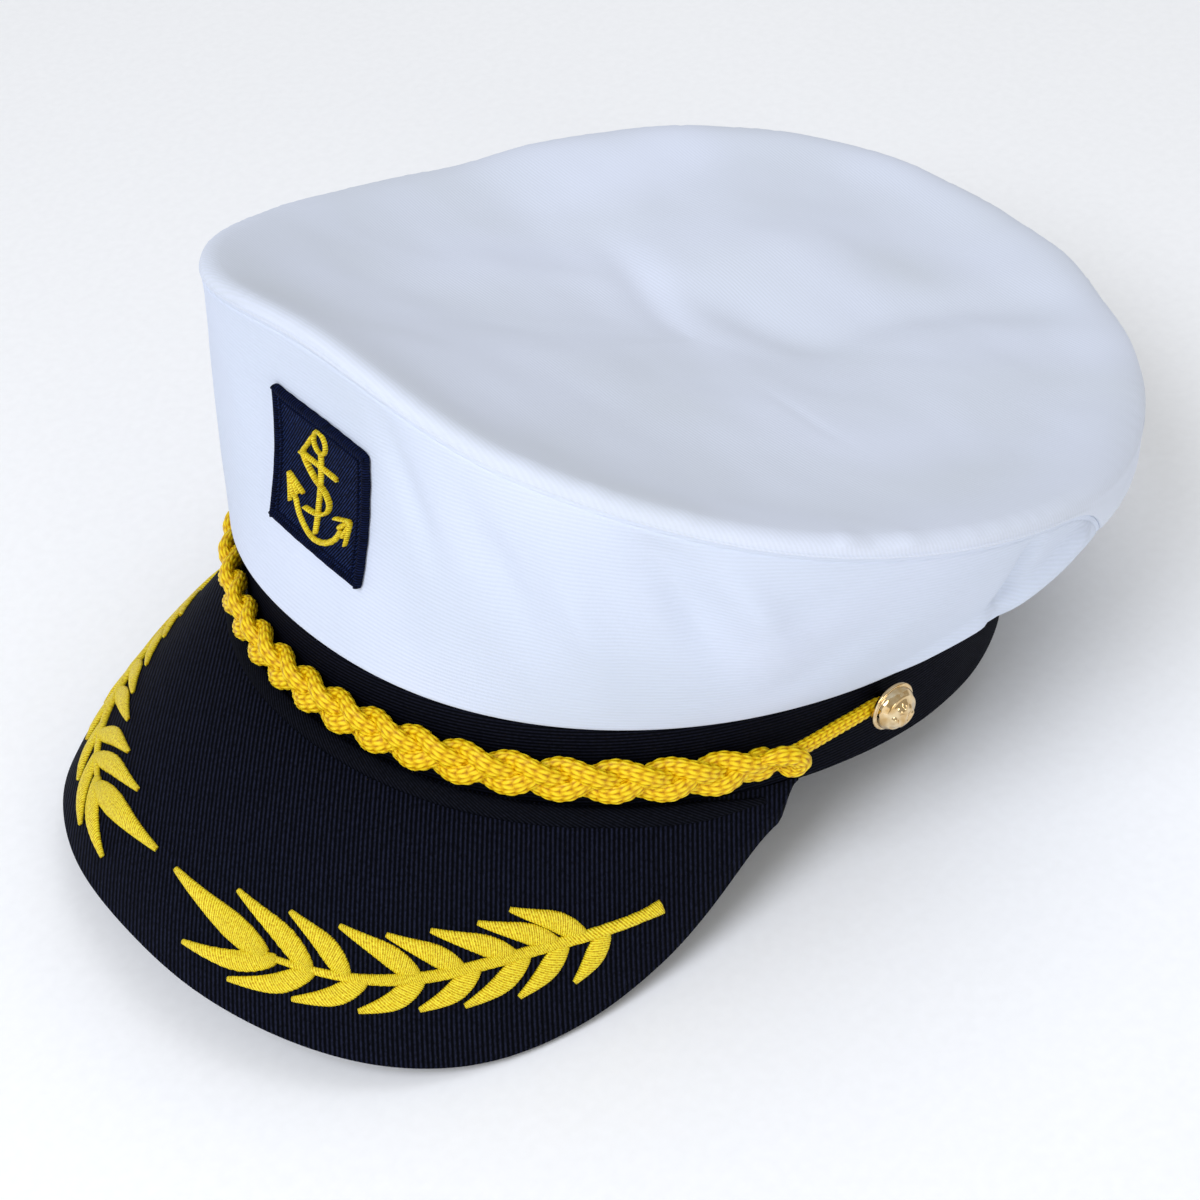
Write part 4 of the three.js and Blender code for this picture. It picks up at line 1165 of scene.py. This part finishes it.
def visor_stroke(bm, hand, stops, width, height, steps):
    """Raised satin stroke on the visor, on the wearer's left (1) or right (-1)."""
    line = curve_points(stops, steps)
    middles = [visor_point(hand * along, out) for along, out in line]
    length = sum((b - a).length for a, b in zip(middles, middles[1:]))

    def spot(share):
        index = round(share * steps)
        normal = visor_normal(hand * line[index][0], line[index][1])
        heading = middles[min(index + 1, steps)] - middles[max(index - 1, 0)]
        return middles[index] + normal * 0.15, heading.cross(normal).normalized(), normal

    def section(share, angle):
        ragged = 1 + 0.03 * math.sin(2 * math.pi * share * length / 0.55)
        half = width(share) * (ragged if abs(math.cos(angle)) > 0.7 else 1)
        rise = height * (0.35 + 0.65 * min(1, half / 1.4)) * abs(math.sin(angle)) ** 0.75
        return half * math.cos(angle), rise if math.sin(angle) > 0 else -0.15 * abs(math.sin(angle))

    sweep(bm, steps, 18, spot, section, length)


def stem_half(share):
    """Half width of the stem: thin at its tip, and flared at its cut end."""
    return STEM_WIDTH / 2 * (0.55 + 0.45 * smooth(0, 0.35, share) + 0.3 * smooth(0.94, 1, share))


def leaf_half(share, grow):
    place = share * (len(LEAF_OUTLINE) - 1)
    step = min(int(place), len(LEAF_OUTLINE) - 2)
    near, far = LEAF_OUTLINE[step:step + 2]
    return grow * LEAF_WIDTH / 2 * (near + (far - near) * (place - step))


def build_laurels():
    for side, hand in (("left", 1), ("right", -1)):
        bm = bmesh.new()
        visor_stroke(bm, hand, STEM[1:], stem_half, LEAF_RISE * 1.25, 120)
        for index, (root, along, out) in enumerate(LEAVES):
            base = stem_out(root)
            lean = (root + (along - root) * 0.41, base + (out - base) * 0.59)
            grow = 1.22 if index == 0 else 1  # the first leaf, at the branch's tip, is the largest
            stops = [(root, base), lean, (along, out)]
            visor_stroke(bm, hand, stops, lambda share: leaf_half(share, grow), LEAF_RISE, 56)
        bmesh.ops.recalc_face_normals(bm, faces=bm.faces)
        piece(f"laurel_stitching_{side}", bm, THREAD, "gold_thread", f"laurel_{side}")


build_wall()
build_top()
build_band()
build_visor()
build_strip()
build_plait()
build_ends()
build_buttons()
build_patch()
build_anchor()
build_laurels()

# Studio: paper floor, large soft lights and the photograph's view
FLOOR_HALF = 6  # metres
HAT_MIDDLE = (0, 0, 0.06)
SENSOR_WIDTH = 36
FOCAL_PIXELS = 2193.54  # fitted to the photograph, which is 1200 pixels wide
FRAME_PIXELS = 1200
CAMERA_SPOT = (320.296, -251.085, 401.481)  # millimetres
CAMERA_TURNS = (52.83, 90 - 43.26, -5.62)  # degrees round Z, up from straight down, and roll


def build_floor():
    bm = bmesh.new()
    bmesh.ops.create_grid(bm, x_segments=8, y_segments=8, size=FLOOR_HALF)
    mesh = bpy.data.meshes.new("paper_floor")
    bm.to_mesh(mesh)
    bm.free()
    mesh.materials.append(floor_paper())
    floor = bpy.data.objects.new("paper_floor", mesh)
    bpy.context.scene.collection.objects.link(floor)


def area_light(name, spot, size, power, colour="#ffffff", aim=HAT_MIDDLE):
    """Round soft light of this size in metres and power in watts, aimed at the hat."""
    light = bpy.data.lights.new(name, "AREA")
    light.shape = "DISK"
    light.size = size
    light.energy = power
    light.color = linear(colour)[:3]
    lamp = bpy.data.objects.new(name, light)
    lamp.location = spot
    lamp.rotation_euler = (Vector(spot) - Vector(aim)).to_track_quat("Z", "Y").to_euler()
    bpy.context.scene.collection.objects.link(lamp)


def build_light():
    world = bpy.data.worlds.new("studio")
    world.use_nodes = True
    back = world.node_tree.nodes["Background"]
    back.inputs["Color"].default_value = linear("#fcfcfa")
    back.inputs["Strength"].default_value = 0.47
    bpy.context.scene.world = world
    area_light("front_softbox", (0.6, -1.3, 0.4), 1.0, 1.6)
    area_light("key_softbox", (0.15, -1.0, 1.2), 0.9, 13, "#eef3ff")
    area_light("top_softbox", (-0.2, 0.6, 1.4), 1.2, 4, "#f2f6ff")
    area_light("button_glint", (1.45, -0.2, 0.42), 0.6, 3.0, aim=(0.1, 0, 0.04))


def build_camera():
    camera = bpy.data.cameras.new("photo_view")
    camera.sensor_width = SENSOR_WIDTH
    camera.lens = SENSOR_WIDTH * FOCAL_PIXELS / FRAME_PIXELS
    camera.clip_start = 0.01
    view = bpy.data.objects.new("photo_view", camera)
    azimuth, tilt, roll = (math.radians(turn) for turn in CAMERA_TURNS)
    view.matrix_world = (
        Matrix.Translation(Vector(CAMERA_SPOT) * MM)
        @ Matrix.Rotation(azimuth, 4, "Z")
        @ Matrix.Rotation(tilt, 4, "X")
        @ Matrix.Rotation(roll, 4, "Z")
    )
    bpy.context.scene.collection.objects.link(view)
    bpy.context.scene.camera = view


build_floor()
build_light()
build_camera()
bpy.context.scene.view_settings.view_transform = "Standard"
